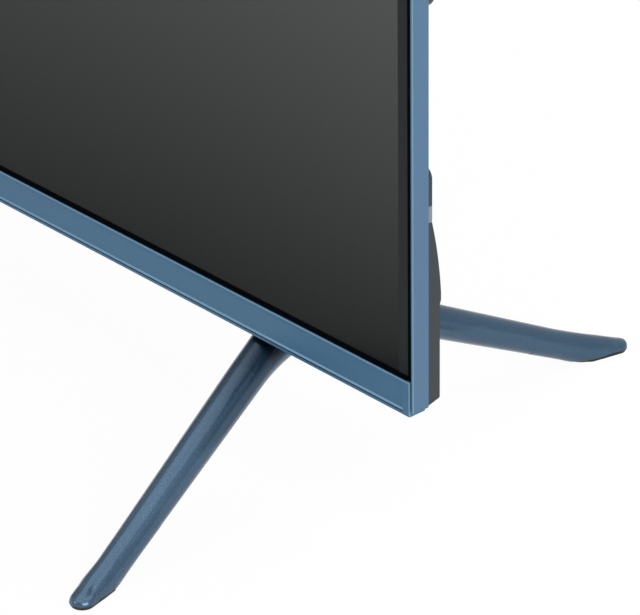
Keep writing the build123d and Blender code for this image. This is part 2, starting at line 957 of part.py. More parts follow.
with BuildPart() as moulding:
    # Deep housing with leaning sides and rounded corners
    loft([housing_outline(cover_front, 0), housing_outline(housing_depth, 0)], ruled=True)
    long_corners = [e for e in moulding.edges() if e.length < 2 * housing_depth]
    fillet(long_corners, radius=housing_corner_round)
    fillet(moulding.faces().sort_by(Axis.Y)[-1].edges(), radius=housing_back_round)
    # Low skirt over the full width
    with BuildSketch(side_on(-skirt_half)) as skirt_profile:
        with BuildLine():
            Polyline(
                (cover_front, skirt_top),
                (cover_front, skirt_foot),
                (skirt_depth, skirt_foot + (skirt_depth - cover_front) * tan(radians(skirt_rake))),
                (skirt_depth, skirt_straight_top),
                (skirt_depth + skirt_step, skirt_straight_top + skirt_step_height),
                (skirt_depth + skirt_step, skirt_swell_top),
            )
            ThreePointArc(
                (skirt_depth + skirt_step, skirt_swell_top),
                (skirt_bend_depth, skirt_bend_height),
                (skirt_top_depth, skirt_top),
            )
            Line((skirt_top_depth, skirt_top), (cover_front, skirt_top))
        make_face()
        fillet(skirt_profile.vertices().sort_by(Axis.Y)[1], radius=skirt_round)
    extrude(amount=2 * skirt_half)
    # Hollow inside, open to the front, but for the bay walls, screw columns and louvre banks
    with BuildPart(mode=Mode.PRIVATE) as hollow:
        loft(
            [
                housing_outline(cover_front - overrun, cover_wall),
                housing_outline(housing_depth - cover_wall, cover_wall),
            ],
            ruled=True,
        )
        block(
            (-skirt_half + cover_wall, skirt_half - cover_wall),
            (cover_front - overrun, skirt_depth - cover_wall),
            (skirt_foot + 2 * cover_wall, skirt_straight_top),
        )
        for side, bay_top in bays:
            near, far = sorted((side * (bay_wall_x - cover_wall), side * half_width))
            block(
                (near, far),
                (bay_floor_depth - cover_wall, housing_depth + overrun),
                (bay_foot - cover_wall, bay_top + cover_wall),
                mode=Mode.SUBTRACT,
            )
        for x, height in well_places:
            column = (cover_front - 2 * overrun, housing_depth)
            rod(x, height, column, well_radius + cover_wall, mode=Mode.SUBTRACT)
        for side in (-1, 1):
            bank_x = side * louvre_bank_x
            block(
                (bank_x - louvre_bank_half, bank_x + louvre_bank_half),
                (housing_depth - louvre_blade_depth, housing_depth),
                (louvre_bank_low, louvre_bank_low + louvre_pitch * louvre_rows),
                mode=Mode.SUBTRACT,
            )
    add(hollow.part, mode=Mode.SUBTRACT)
    # Bays, open to the side and the back
    for side, bay_top in bays:
        near, far = sorted((side * bay_wall_x, side * half_width))
        block(
            (near, far),
            (bay_floor_depth, housing_depth + overrun),
            (bay_foot, bay_top),
            mode=Mode.SUBTRACT,
        )
    # Louvres: leaning slots in the thick banks leave leaning blades
    slot_outer = housing_depth + cover_wall
    slot_inner = housing_depth - louvre_blade_depth - cover_wall
    for side in (-1, 1):
        bank_start = side * louvre_bank_x - louvre_bank_half + louvre_rib / 2
        for column in range(louvre_columns):
            with BuildSketch(side_on(bank_start + column * (louvre_length + louvre_rib))) as slots:
                for row in range(louvre_rows):
                    low = louvre_bank_low + row * louvre_pitch
                    with BuildLine():
                        Polyline(
                            (slot_outer, low),
                            (slot_outer, low + louvre_opening),
                            (slot_inner, low + louvre_opening + louvre_rise),
                            (slot_inner, low + louvre_rise),
                            close=True,
                        )
                    make_face()
            extrude(amount=louvre_length, mode=Mode.SUBTRACT)
    # Vents across the sloping top
    with BuildSketch(flat(housing_top_back - top_vent_drop)) as top_vents:
        with Locations(*[(side * top_vent_x, (top_vent_front + top_vent_back) / 2) for side in (-1, 1)]):
            with GridLocations(top_vent_pitch, top_vent_pitch, top_vent_count, 1):
                Rectangle(top_vent_width, top_vent_back - top_vent_front)
    extrude(amount=housing_top_front - housing_top_back + 2 * top_vent_drop, mode=Mode.SUBTRACT)
    # Speaker grilles in the underside
    with BuildSketch(flat(-overrun)) as grilles:
        with Locations(*[(side * speaker_x, (grille_front + grille_back) / 2) for side in (-1, 1)]):
            with GridLocations(grille_slot_pitch, grille_slot_pitch, grille_slot_count, 1):
                Rectangle(grille_slot_width, grille_back - grille_front)
    extrude(amount=overrun + speaker_foot - cover_wall, mode=Mode.SUBTRACT)
    # Screw wells, insert holes and the pockets that the legs' heads enter
    for x, height in well_places:
        rod(x, height, (well_floor_depth, housing_depth + overrun), well_radius, mode=Mode.SUBTRACT)
        rod(x, height, (cover_front - overrun, housing_depth), well_hole_radius, mode=Mode.SUBTRACT)
    for x, height in insert_places:
        rod(
            x,
            height,
            (housing_depth - 2 * cover_wall, housing_depth + overrun),
            insert_radius + insert_clearance,
            mode=Mode.SUBTRACT,
        )
    with BuildSketch(flat(-overrun)) as head_pockets:
        with Locations((-apex_x, leg_depth), (apex_x, leg_depth)):
            RectangleRounded(
                head_width + 2 * head_clearance,
                head_length + 2 * head_clearance,
                radius=head_round + head_clearance,
            )
    extrude(amount=overrun + head_top, mode=Mode.SUBTRACT)
    # Windows for the sockets in the bay walls
    for height in hdmi_heights:
        block(
            (bay_wall_x - 2 * cover_wall, bay_wall_x + overrun),
            (board_back - socket_wall_gap, board_back + hdmi_height + socket_wall_gap),
            (height - hdmi_width / 2 - socket_wall_gap, height + hdmi_width / 2 + socket_wall_gap),
            mode=Mode.SUBTRACT,
        )
    for height in usb_heights:
        block(
            (bay_wall_x - 2 * cover_wall, bay_wall_x + overrun),
            (board_back - socket_wall_gap, board_back + usb_height + socket_wall_gap),
            (height - usb_width / 2 - socket_wall_gap, height + usb_width / 2 + socket_wall_gap),
            mode=Mode.SUBTRACT,
        )
    spindle(
        board_back + jack_radius,
        jack_height,
        (bay_wall_x - 2 * cover_wall, bay_wall_x + overrun),
        jack_radius + socket_wall_gap,
        mode=Mode.SUBTRACT,
    )
    wall_over_bay = (bay_socket_top - overrun, bay_socket_top + 2 * cover_wall)
    block(
        (lan_x - lan_width / 2 - socket_wall_gap, lan_x + lan_width / 2 + socket_wall_gap),
        (board_back - socket_wall_gap, board_back + lan_height + socket_wall_gap),
        wall_over_bay,
        mode=Mode.SUBTRACT,
    )
    block(
        (optical_x - optical_width / 2 - socket_wall_gap, optical_x + optical_width / 2 + socket_wall_gap),
        (board_back - socket_wall_gap, board_back + optical_height + socket_wall_gap),
        wall_over_bay,
        mode=Mode.SUBTRACT,
    )
    post(
        aerial_x,
        board_back + aerial_body / 2,
        wall_over_bay,
        aerial_radius + socket_wall_gap,
        mode=Mode.SUBTRACT,
    )
    block(
        (-bay_wall_x - overrun, -bay_wall_x + 2 * cover_wall),
        (board_back - socket_wall_gap, board_back + inlet_height + socket_wall_gap),
        (
            inlet_centre - inlet_width / 2 - socket_wall_gap,
            inlet_centre + inlet_width / 2 + socket_wall_gap,
        ),
        mode=Mode.SUBTRACT,
    )
# The moulding is made in pieces that meet edge to edge at the walls of the bays
seam_x = bay_wall_x - cover_wall
seam_depths = (cover_front - overrun, housing_depth + overrun)
low_seam = bay_foot - cover_wall
past_top = housing_top_front + overrun

with BuildPart() as rear_cover:
    add(moulding.part)
    block((-seam_x, seam_x), seam_depths, (-overrun, past_top), mode=Mode.INTERSECT)
rear_cover.part.label = "rear_cover"
export_step(rear_cover.part, "parts/rear_cover.step")

with BuildPart() as cover_foot_right:
    add(moulding.part)
    block((seam_x, half_width), seam_depths, (-overrun, low_seam), mode=Mode.INTERSECT)
cover_foot_right.part.label = "cover_foot_right"
export_step(cover_foot_right.part, "parts/cover_foot_right.step")

with BuildPart() as cover_foot_left:
    add(moulding.part)
    block((-half_width, -seam_x), seam_depths, (-overrun, low_seam), mode=Mode.INTERSECT)
cover_foot_left.part.label = "cover_foot_left"
export_step(cover_foot_left.part, "parts/cover_foot_left.step")

with BuildPart() as socket_tray:
    add(moulding.part)
    block(
        (seam_x, half_width),
        seam_depths,
        (low_seam, bay_socket_top + cover_wall),
        mode=Mode.INTERSECT,
    )
socket_tray.part.label = "socket_tray"
export_step(socket_tray.part, "parts/socket_tray.step")

with BuildPart() as mains_tray:
    add(moulding.part)
    block(
        (-half_width, -seam_x),
        seam_depths,
        (low_seam, bay_mains_top + cover_wall),
        mode=Mode.INTERSECT,
    )
mains_tray.part.label = "mains_tray"
export_step(mains_tray.part, "parts/mains_tray.step")

with BuildPart() as cover_shoulder_right:
    add(moulding.part)
    block(
        (seam_x, half_width),
        seam_depths,
        (bay_socket_top + cover_wall, past_top),
        mode=Mode.INTERSECT,
    )
cover_shoulder_right.part.label = "cover_shoulder_right"
export_step(cover_shoulder_right.part, "parts/cover_shoulder_right.step")

with BuildPart() as cover_shoulder_left:
    add(moulding.part)
    block(
        (-half_width, -seam_x),
        seam_depths,
        (bay_mains_top + cover_wall, past_top),
        mode=Mode.INTERSECT,
    )
cover_shoulder_left.part.label = "cover_shoulder_left"
export_step(cover_shoulder_left.part, "parts/cover_shoulder_left.step")


# Screws that hold the rear cover, deep in its wells
with BuildPart() as cover_screws:
    for x, height in well_places:
        head_depths = (well_floor_depth, well_floor_depth + well_screw_head_height)
        rod(x, height, head_depths, well_screw_head_radius)
        rod(x, height, (pan_front + seat_gap, well_floor_depth), well_screw_radius)
cover_screws.part.label = "cover_screws"
export_step(cover_screws.part, "parts/cover_screws.step")


# Threaded inserts for a wall mount, riveted to the pan
with BuildPart() as wall_mount_inserts:
    for x, height in insert_places:
        rod(x, height, (pan_back, housing_depth - insert_sink), insert_radius)
        rod(
            x,
            height,
            (housing_depth - insert_sink - insert_hole_depth, housing_depth + overrun),
            insert_hole_radius,
            mode=Mode.SUBTRACT,
        )
wall_mount_inserts.part.label = "wall_mount_inserts"
export_step(wall_mount_inserts.part, "parts/wall_mount_inserts.step")


# Legs

def bow_plane():
    """Plane of the right leg's bow: local x runs back along Y, local y up and inward."""
    lean = radians(leg_lean)
    return Plane(
        origin=(leg_corner_x, 0, leg_corner_z),
        x_dir=(0, 1, 0),
        z_dir=(cos(lean), 0, sin(lean)),
    )


def bar_section(along, radius):
    """Round section of the straight part of a leg at a distance along Y from the bow's middle."""
    plane = bow_plane()
    pitch = radians(leg_pitch)
    side = 1 if along > 0 else -1
    centre = plane.from_local_coords((along, -abs(along) * tan(pitch), 0))
    heading = plane.from_local_coords((side * cos(pitch), -sin(pitch), 0)) - plane.origin
    with BuildSketch(Plane(origin=centre, x_dir=plane.z_dir, z_dir=heading)) as section:
        Circle(radius)
    return section.sketch


bow_tangent = bow_radius * sin(radians(leg_pitch))
bow_end_drop = bow_tangent * tan(radians(leg_pitch))
toe_end = leg_toe_reach + leg_toe_overrun
bar_taper = (bow_bar_radius - toe_bar_radius) / (leg_toe_reach - bow_tangent)
end_bar_radius = bow_bar_radius - bar_taper * (toe_end - bow_tangent)


def straight_part(side, growth, cut_height):
    """Tapered straight part of the right leg, grown all round and cut level at a height."""
    with BuildPart() as bar:
        loft(
            [
                bar_section(side * bow_tangent, bow_bar_radius + growth),
                bar_section(side * toe_end, end_bar_radius + growth),
            ],
            ruled=True,
        )
        split(bisect_by=Plane.XY.offset(cut_height), keep=Keep.TOP)
    return bar.part


def soles(inset, heights):
    """Slot-shaped soles under the right leg's two toes, along the leg, drawn in all round by an inset."""
    splay = atan2(leg_toe_x - leg_corner_x, leg_toe_reach)
    x = leg_toe_x + sole_shift * sin(splay) + sole_offset * cos(splay)
    reach = leg_toe_reach + sole_shift * cos(splay) - sole_offset * sin(splay)
    with BuildPart() as pair:
        for side in (-1, 1):
            with BuildSketch(Plane.XY.offset(heights[0])) as plan:
                with Locations((x, side * reach)):
                    SlotOverall(
                        sole_length - 2 * inset,
                        sole_width - 2 * inset,
                        rotation=side * (quarter_turn - degrees(splay)),
                    )
            extrude(plan.sketch, amount=heights[1] - heights[0])
    return pair.part


with BuildPart() as leg_right:
    # Bow: a round bar bent to an arc, between two straight tapered parts
    with BuildLine(bow_plane()) as bow_path:
        ThreePointArc((-bow_tangent, -bow_end_drop), (0, -bow_sag), (bow_tangent, -bow_end_drop))
    bow_start = Plane(bow_path.line @ 0, x_dir=bow_plane().z_dir, z_dir=bow_path.line % 0)
    with BuildSketch(bow_start) as bar_round:
        Circle(bow_bar_radius)
    sweep(sections=bar_round.sketch, path=bow_path.line)
    for side in (-1, 1):
        add(straight_part(side, 0, pad_thickness))
    with BuildPart(mode=Mode.PRIVATE) as sole_pair:
        add(soles(0, (pad_thickness, sole_top)))
        fillet(sole_pair.faces().group_by(Axis.Z)[-1].edges(), radius=sole_round)
    add(sole_pair.part)
    # Head that enters the set, with two counterbored screw holes from below
    with BuildSketch(flat(apex_height)) as head:
        with Locations((apex_x, leg_depth)):
            RectangleRounded(head_width, head_length, radius=head_round)
    extrude(amount=head_top - apex_height)
    for side in (-1, 1):
        screw_depth = leg_depth + side * leg_screw_spacing / 2
        screw_hole = leg_screw_radius + leg_screw_clearance
        head_hole = leg_screw_head_radius + leg_screw_clearance
        post(apex_x, screw_depth, (-floor_clearance, head_top + overrun), screw_hole, mode=Mode.SUBTRACT)
        post(apex_x, screw_depth, (-floor_clearance, -leg_counterbore_top), head_hole, mode=Mode.SUBTRACT)
leg_right.part.label = "leg_right"
export_step(leg_right.part, "parts/leg_right.step")

with BuildPart() as leg_left:
    mirror(leg_right.part, about=Plane.YZ)
leg_left.part.label = "leg_left"
export_step(leg_left.part, "parts/leg_left.step")


# Rubber pads under the four toes
with BuildPart() as leg_pads:
    for side in (-1, 1):
        add(straight_part(side, 0, 0))
    with BuildSketch() as inner_ends:
        with Locations((leg_toe_x, 0)):
            Rectangle(leg_toe_reach, 2 * leg_toe_reach)
    extrude(amount=pad_thickness, mode=Mode.INTERSECT)
    add(soles(pad_end_inset, (0, pad_thickness)))
    mirror(about=Plane.YZ)
leg_pads.part.label = "leg_pads"
export_step(leg_pads.part, "parts/leg_pads.step")


# Screws that go up through the legs' heads into the brackets
screw_depths = [leg_depth + side * leg_screw_spacing / 2 for side in (-1, 1)]
shelf_top = head_top + bracket_sheet
with BuildPart() as leg_screws:
    for x in (-apex_x, apex_x):
        for depth in screw_depths:
            post(
                x,
                depth,
                (-leg_counterbore_top - leg_screw_head_height, -leg_counterbore_top),
                leg_screw_head_radius,
            )
            post(x, depth, (-leg_counterbore_top, head_top + leg_screw_grip), leg_screw_radius)
leg_screws.part.label = "leg_screws"
export_step(leg_screws.part, "parts/leg_screws.step")


# Steel brackets on the pan: a plate, a shelf with two nuts and a gusset at each side
with BuildPart() as leg_brackets:
    for centre in (-apex_x, apex_x):
        sides = (centre - bracket_width / 2, centre + bracket_width / 2)
        block(sides, (pan_back, pan_back + bracket_sheet), (head_top, head_top + bracket_plate_height))
        block(sides, (pan_back, bracket_reach), (head_top, shelf_top))
        for start in (sides[0], sides[1] - bracket_sheet):
            with BuildSketch(side_on(start)):
                with BuildLine():
                    Polyline(
                        (pan_back, shelf_top),
                        (bracket_reach, shelf_top),
                        (bracket_reach, shelf_top + bracket_sheet),
                        (pan_back + bracket_sheet, head_top + gusset_height),
                        (pan_back, head_top + gusset_height),
                        close=True,
                    )
                make_face()
            extrude(amount=bracket_sheet)
        for depth in screw_depths:
            post(centre, depth, (shelf_top, shelf_top + bracket_nut_height), bracket_nut_radius)
            post(
                centre,
                depth,
                (0, shelf_top + bracket_nut_height + overrun),
                leg_screw_radius + bracket_screw_fit,
                mode=Mode.SUBTRACT,
            )
leg_brackets.part.label = "leg_brackets"
export_step(leg_brackets.part, "parts/leg_brackets.step")


# Circuit boards

def corner_places(xs, heights):
    """Four places, each set in by the post inset from a corner of a board."""
    x0, x1 = xs[0] + post_inset, xs[1] - post_inset
    h0, h1 = heights[0] + post_inset, heights[1] - post_inset
    return [(x0, h0), (x1, h0), (x0, h1), (x1, h1)]


main_board_outer_x = bay_wall_x - cover_wall - board_gap_to_bay
main_posts = corner_places((main_board_inner_x, main_board_outer_x), (main_board_foot, main_board_top))
main_posts.append((main_board_wing_x - post_inset, main_board_top - post_inset))
power_posts = corner_places(
    (-main_board_outer_x, -power_board_inner_x),
    (power_board_foot, power_board_top),
)
tcon_posts = corner_places((-tcon_width / 2, tcon_width / 2), (tcon_foot, tcon_foot + tcon_height))
wifi_posts = [(wifi_x, wifi_foot + wifi_height - post_inset), (wifi_x, wifi_foot + post_inset)]
tcon_back = tcon_depth + board_thickness
wing_foot = bay_socket_top + cover_wall + main_board_notch_gap

with BuildPart() as main_board:
    block(
        (main_board_inner_x, main_board_outer_x),
        (board_depth, board_back),
        (main_board_foot, main_board_top),
    )
    block(
        (main_board_outer_x - overrun, main_board_wing_x),
        (board_depth, board_back),
        (wing_foot, main_board_top),
    )
    for x, height in main_posts:
        rod(x, height, (board_depth - overrun, board_back + overrun), board_hole_radius, mode=Mode.SUBTRACT)
    # Main chip, memory chips and tuner can on the back
    block(
        (chip_x - chip_size / 2, chip_x + chip_size / 2),
        (board_back, board_back + chip_thickness),
        (chip_height - chip_size / 2, chip_height + chip_size / 2),
    )
    with BuildSketch(upright(board_back)):
        with Locations((chip_x - memory_offset, chip_height)):
            with GridLocations(memory_pitch, memory_pitch, 1, 2):
                Rectangle(memory_width, memory_length)
    extrude(amount=-memory_thickness)
    block(
        (aerial_x - tuner_length, aerial_x),
        (board_back, board_back + tuner_thickness),
        (main_board_top - tuner_width, main_board_top - post_inset * 2),
    )
main_board.part.label = "main_board"
export_step(main_board.part, "parts/main_board.step")

with BuildPart() as main_heatsink:
    chip_back = board_back + chip_thickness
    block(
        (chip_x - sink_size / 2, chip_x + sink_size / 2),
        (chip_back, chip_back + sink_base),
        (chip_height - sink_size / 2, chip_height + sink_size / 2),
    )
    fin_pitch = (sink_size - sink_fin_thickness) / (sink_fin_count - 1)
    with BuildSketch(upright(chip_back + sink_base)):
        with Locations((chip_x, chip_height)):
            with GridLocations(fin_pitch, sink_size, sink_fin_count, 1):
                Rectangle(sink_fin_thickness, sink_size)
    extrude(amount=-sink_fin_height)
main_heatsink.part.label = "main_heatsink"
export_step(main_heatsink.part, "parts/main_heatsink.step")

with BuildPart() as power_board:
    block(
        (-main_board_outer_x, -power_board_inner_x),
        (board_depth, board_back),
        (power_board_foot, power_board_top),
    )
    for x, height in power_posts:
        rod(x, height, (board_depth - overrun, board_back + overrun), board_hole_radius, mode=Mode.SUBTRACT)
power_board.part.label = "power_board"
export_step(power_board.part, "parts/power_board.step")

# Transformer, capacitors, cooling plate and choke that stand on the power board
with BuildPart() as power_components:
    core = transformer_height * transformer_core_share
    block(
        (transformer_x - transformer_width / 2, transformer_x + transformer_width / 2),
        (board_back, board_back + transformer_height),
        (transformer_z - core, transformer_z + core),
    )
    winding = transformer_width * transformer_core_share / 2
    block(
        (transformer_x - winding, transformer_x + transformer_width / 2),
        (board_back, board_back + core),
        (transformer_z - transformer_length / 2, transformer_z + transformer_length / 2),
    )
    for i in range(capacitor_count):
        rod(
            capacitor_x + i * capacitor_pitch,
            capacitor_z + transformer_height,
            (board_back, board_back + capacitor_height),
            capacitor_radius,
        )
    block(
        (power_sink_x - power_sink_width / 2, power_sink_x + power_sink_width / 2),
        (board_back, board_back + power_sink_height),
        (power_sink_z, power_sink_z + power_sink_thickness),
    )
    rod(choke_x, choke_z, (board_back, board_back + choke_height), choke_radius)
    rod(choke_x, choke_z, (board_back, board_back + choke_height + overrun), choke_bore, mode=Mode.SUBTRACT)
power_components.part.label = "power_components"
export_step(power_components.part, "parts/power_components.step")

with BuildPart() as tcon_board:
    block((-tcon_width / 2, tcon_width / 2), (tcon_depth, tcon_back), (tcon_foot, tcon_foot + tcon_height))
    for x, height in tcon_posts:
        rod(x, height, (tcon_depth - overrun, tcon_back + overrun), board_hole_radius, mode=Mode.SUBTRACT)
    with BuildSketch(upright(tcon_back)):
        with Locations((0, tcon_foot + tcon_height / 2)):
            Rectangle(chip_size / 2, chip_size / 2)
    extrude(amount=-memory_thickness)
tcon_board.part.label = "tcon_board"
export_step(tcon_board.part, "parts/tcon_board.step")

with BuildPart() as wifi_module:
    block(
        (wifi_x - wifi_width / 2, wifi_x + wifi_width / 2),
        (tcon_depth, tcon_back),
        (wifi_foot, wifi_foot + wifi_height),
    )
    for x, height in wifi_posts:
        rod(x, height, (tcon_depth - overrun, tcon_back + overrun), board_hole_radius, mode=Mode.SUBTRACT)
    block(
        (wifi_x - wifi_width / 2 + post_inset, wifi_x - post_inset),
        (tcon_back, tcon_back + chip_thickness),
        (wifi_foot + post_inset, wifi_foot + wifi_height - post_inset),
    )
wifi_module.part.label = "wifi_module"
export_step(wifi_module.part, "parts/wifi_module.step")

# Posts on the pan and the screws that hold the boards to them
with BuildPart() as board_posts:
    for places, front in ((main_posts + power_posts, board_depth), (tcon_posts + wifi_posts, tcon_depth)):
        for x, height in places:
            rod(x, height, (pan_back, front), post_radius)
            rod(x, height, (front - post_hole_depth, front + overrun), post_hole_radius, mode=Mode.SUBTRACT)
board_posts.part.label = "board_posts"
export_step(board_posts.part, "parts/board_posts.step")

with BuildPart() as board_screws:
    for places, back in ((main_posts + power_posts, board_back), (tcon_posts + wifi_posts, tcon_back)):
        for x, height in places:
            rod(x, height, (back, back + board_screw_head_height), board_screw_head_radius)
            rod(x, height, (back - board_thickness - board_screw_grip, back), board_screw_radius)
board_screws.part.label = "board_screws"
export_step(board_screws.part, "parts/board_screws.step")


# Sockets

with BuildPart() as hdmi_sockets:
    hdmi_middle = board_back + hdmi_height / 2
    hdmi_places = [(hdmi_middle, height) for height in hdmi_heights]
    with BuildSketch(side_on(bay_wall_x + socket_proud - hdmi_length)):
        with Locations(*hdmi_places):
            RectangleRounded(hdmi_height, hdmi_width, radius=hdmi_shell)
    extrude(amount=hdmi_length)
    with BuildSketch(side_on(bay_wall_x + socket_proud)):
        with Locations(*hdmi_places):
            Rectangle(hdmi_height - 2 * hdmi_shell, hdmi_width - 2 * hdmi_shell)
    extrude(amount=-(hdmi_length - socket_proud), mode=Mode.SUBTRACT)
    with BuildSketch(side_on(bay_wall_x + socket_proud - hdmi_length)):
        with Locations(*hdmi_places):
            Rectangle(hdmi_tongue, hdmi_tongue_share * hdmi_width)
    extrude(amount=hdmi_length - socket_proud)
hdmi_sockets.part.label = "hdmi_sockets"
export_step(hdmi_sockets.part, "parts/hdmi_sockets.step")

with BuildPart() as usb_sockets:
    usb_middle = board_back + usb_height / 2
    usb_places = [(usb_middle, height) for height in usb_heights]
    with BuildSketch(side_on(bay_wall_x + socket_proud - usb_length)):
        with Locations(*usb_places):
            Rectangle(usb_height, usb_width)
    extrude(amount=usb_length)
    with BuildSketch(side_on(bay_wall_x + socket_proud)):
        with Locations(*usb_places):
            Rectangle(usb_height - 2 * hdmi_shell, usb_width - 2 * hdmi_shell)
    extrude(amount=-(usb_length - socket_proud), mode=Mode.SUBTRACT)
    with BuildSketch(side_on(bay_wall_x + socket_proud - usb_length)):
        with Locations(*[(usb_middle + hdmi_shell, height) for height in usb_heights]):
            Rectangle(usb_tongue, usb_tongue_share * usb_width)
    extrude(amount=usb_length - socket_proud)
usb_sockets.part.label = "usb_sockets"
export_step(usb_sockets.part, "parts/usb_sockets.step")

with BuildPart() as audio_jack:
    jack_middle = board_back + jack_radius
    block(
        (bay_wall_x - jack_length, bay_wall_x - cover_wall - socket_wall_gap),
        (board_back, board_back + 2 * jack_radius),
        (jack_height - jack_radius, jack_height + jack_radius),
    )
    spindle(
        jack_middle,
        jack_height,
        (bay_wall_x - jack_length, bay_wall_x + socket_proud),
        jack_radius - socket_wall_gap,
    )
    spindle(
        jack_middle,
        jack_height,
        (bay_wall_x - jack_length + socket_proud, bay_wall_x + overrun),
        jack_bore,
        mode=Mode.SUBTRACT,
    )
audio_jack.part.label = "audio_jack"
export_step(audio_jack.part, "parts/audio_jack.step")

with BuildPart() as lan_socket:
    lan_depths = (board_back, board_back + lan_height)
    lan_foot = bay_socket_top
    block((lan_x - lan_width / 2, lan_x + lan_width / 2), lan_depths, (lan_foot, lan_foot + lan_length))
    block(
        (lan_x - lan_mouth_width / 2, lan_x + lan_mouth_width / 2),
        (lan_depths[0] + socket_proud, lan_depths[0] + socket_proud + lan_mouth_height),
        (lan_foot - overrun, lan_foot + lan_mouth_depth),
        mode=Mode.SUBTRACT,
    )
    block(
        (lan_x - lan_latch_width / 2, lan_x + lan_latch_width / 2),
        (lan_depths[0] + lan_mouth_height, lan_depths[1] - socket_proud),
        (lan_foot - overrun, lan_foot + lan_mouth_depth),
        mode=Mode.SUBTRACT,
    )
lan_socket.part.label = "lan_socket"
export_step(lan_socket.part, "parts/lan_socket.step")

with BuildPart() as optical_socket:
    optical_depths = (board_back, board_back + optical_height)
    block(
        (optical_x - optical_width / 2, optical_x + optical_width / 2),
        optical_depths,
        (bay_socket_top, bay_socket_top + optical_length),
    )
    block(
        (optical_x - optical_shutter / 2, optical_x + optical_shutter / 2),
        (
            (optical_depths[0] + optical_depths[1] - optical_shutter) / 2,
            (optical_depths[0] + optical_depths[1] + optical_shutter) / 2,
        ),
        (bay_socket_top - overrun, bay_socket_top + optical_shutter_depth),
        mode=Mode.SUBTRACT,
    )
optical_socket.part.label = "optical_socket"
export_step(optical_socket.part, "parts/optical_socket.step")

with BuildPart() as aerial_socket:
    aerial_middle = board_back + aerial_body / 2
    aerial_foot = bay_socket_top + cover_wall + socket_wall_gap
    block(
        (aerial_x - aerial_body / 2, aerial_x + aerial_body / 2),
        (board_back, board_back + aerial_body),
        (aerial_foot, aerial_foot + aerial_length),
    )
    post(aerial_x, aerial_middle, (aerial_foot - aerial_nose, aerial_foot), aerial_radius)
    post(
        aerial_x,
        aerial_middle,
        (aerial_foot - aerial_nose - overrun, aerial_foot),
        aerial_bore,
        mode=Mode.SUBTRACT,
    )
    post(aerial_x, aerial_middle, (aerial_foot - aerial_nose / 2, aerial_foot), aerial_pin_radius)
aerial_socket.part.label = "aerial_socket"
export_step(aerial_socket.part, "parts/aerial_socket.step")

with BuildPart() as mains_inlet:
    inlet_middle = board_back + inlet_height / 2
    inlet_face = -bay_wall_x
    block(
        (inlet_face, inlet_face + inlet_length),
        (board_back, board_back + inlet_height),
        (inlet_centre - inlet_width / 2, inlet_centre + inlet_width / 2),
    )
    with BuildSketch(side_on(inlet_face)):
        with Locations((inlet_middle, inlet_centre)):
            SlotOverall(inlet_mouth_width, inlet_mouth_height, rotation=quarter_turn)
    extrude(amount=inlet_mouth_depth, mode=Mode.SUBTRACT)
    for side in (-1, 1):
        spindle(
            inlet_middle,
            inlet_centre + side * inlet_pin_spacing / 2,
            (inlet_face + inlet_mouth_depth - inlet_pin_length, inlet_face + inlet_mouth_depth),
            inlet_pin_radius,
        )
mains_inlet.part.label = "mains_inlet"
export_step(mains_inlet.part, "parts/mains_inlet.step")


# Speakers: a sealed box with a lug at each end, a driver that fires down, and rubber rings
speaker_top = speaker_foot + speaker_height
lug_height = speaker_foot + speaker_height / 2
lug_xs = [side * (speaker_length / 2 + speaker_lug / 2) for side in (-1, 1)]

def speaker_box(x):
    """Speaker box round a given middle."""
    with BuildPart() as box:
        with BuildSketch(upright(speaker_front)):
            with Locations((x, lug_height)):
                RectangleRounded(speaker_length, speaker_height, radius=speaker_round)
        extrude(amount=-speaker_depth)
        for offset in lug_xs:
            block(
                (x + offset - speaker_lug / 2 - speaker_round, x + offset + speaker_lug / 2),
                (speaker_front, speaker_front + speaker_lug_thickness),
                (lug_height - speaker_lug / 2, lug_height + speaker_lug / 2),
            )
            rod(
                x + offset,
                lug_height,
                (speaker_front - overrun, speaker_front + speaker_lug_thickness),
                grommet_bore,
                mode=Mode.SUBTRACT,
            )
    return box.part


with BuildPart() as speaker_right:
    add(speaker_box(speaker_x))
speaker_right.part.label = "speaker_right"
export_step(speaker_right.part, "parts/speaker_right.step")

with BuildPart() as speaker_left:
    add(speaker_box(-speaker_x))
speaker_left.part.label = "speaker_left"
export_step(speaker_left.part, "parts/speaker_left.step")

with BuildPart() as speaker_drivers:
    for side in (-1, 1):
        for share in (-cone_x_share, cone_x_share):
            x = side * speaker_x + share * speaker_length
            middle = speaker_front + speaker_depth / 2
            post(x, middle, (speaker_foot - cone_rise, speaker_foot), cone_radius)
            post(
                x,
                middle,
                (speaker_foot - cone_rise, speaker_foot - cone_rise / 2),
                cone_radius - cone_rim,
                mode=Mode.SUBTRACT,
            )
            post(x, middle, (speaker_foot - cone_rise, speaker_foot - cone_rise / 2), cone_dust_cap)
speaker_drivers.part.label = "speaker_drivers"
export_step(speaker_drivers.part, "parts/speaker_drivers.step")

with BuildPart() as speaker_grommets:
    for side in (-1, 1):
        for offset in lug_xs:
            x = side * speaker_x + offset
            rod(x, lug_height, (pan_back, speaker_front), grommet_radius)
            collar = (speaker_front, speaker_front + speaker_lug_thickness)
            rod(x, lug_height, collar, grommet_bore - seat_gap)
speaker_grommets.part.label = "speaker_grommets"
export_step(speaker_grommets.part, "parts/speaker_grommets.step")


# Flat cables: one from the main board to the timing board, two down to the drive boards
with BuildPart() as display_cable:
    start_x = main_board_inner_x + ribbon_lap
    end_x = tcon_width / 2 - ribbon_lap
    with BuildSketch(flat(display_cable_foot)):
        with BuildLine():
            Polyline(
                (start_x, board_back + ribbon_thickness / 2),
                (main_board_inner_x - ribbon_rise, board_back + ribbon_thickness / 2),
                (tcon_width / 2 + ribbon_rise, tcon_back + ribbon_thickness / 2),
                (end_x, tcon_back + ribbon_thickness / 2),
            )
        trace(line_width=ribbon_thickness)
    extrude(amount=display_cable_width)
display_cable.part.label = "display_cable"
export_step(display_cable.part, "parts/display_cable.step")

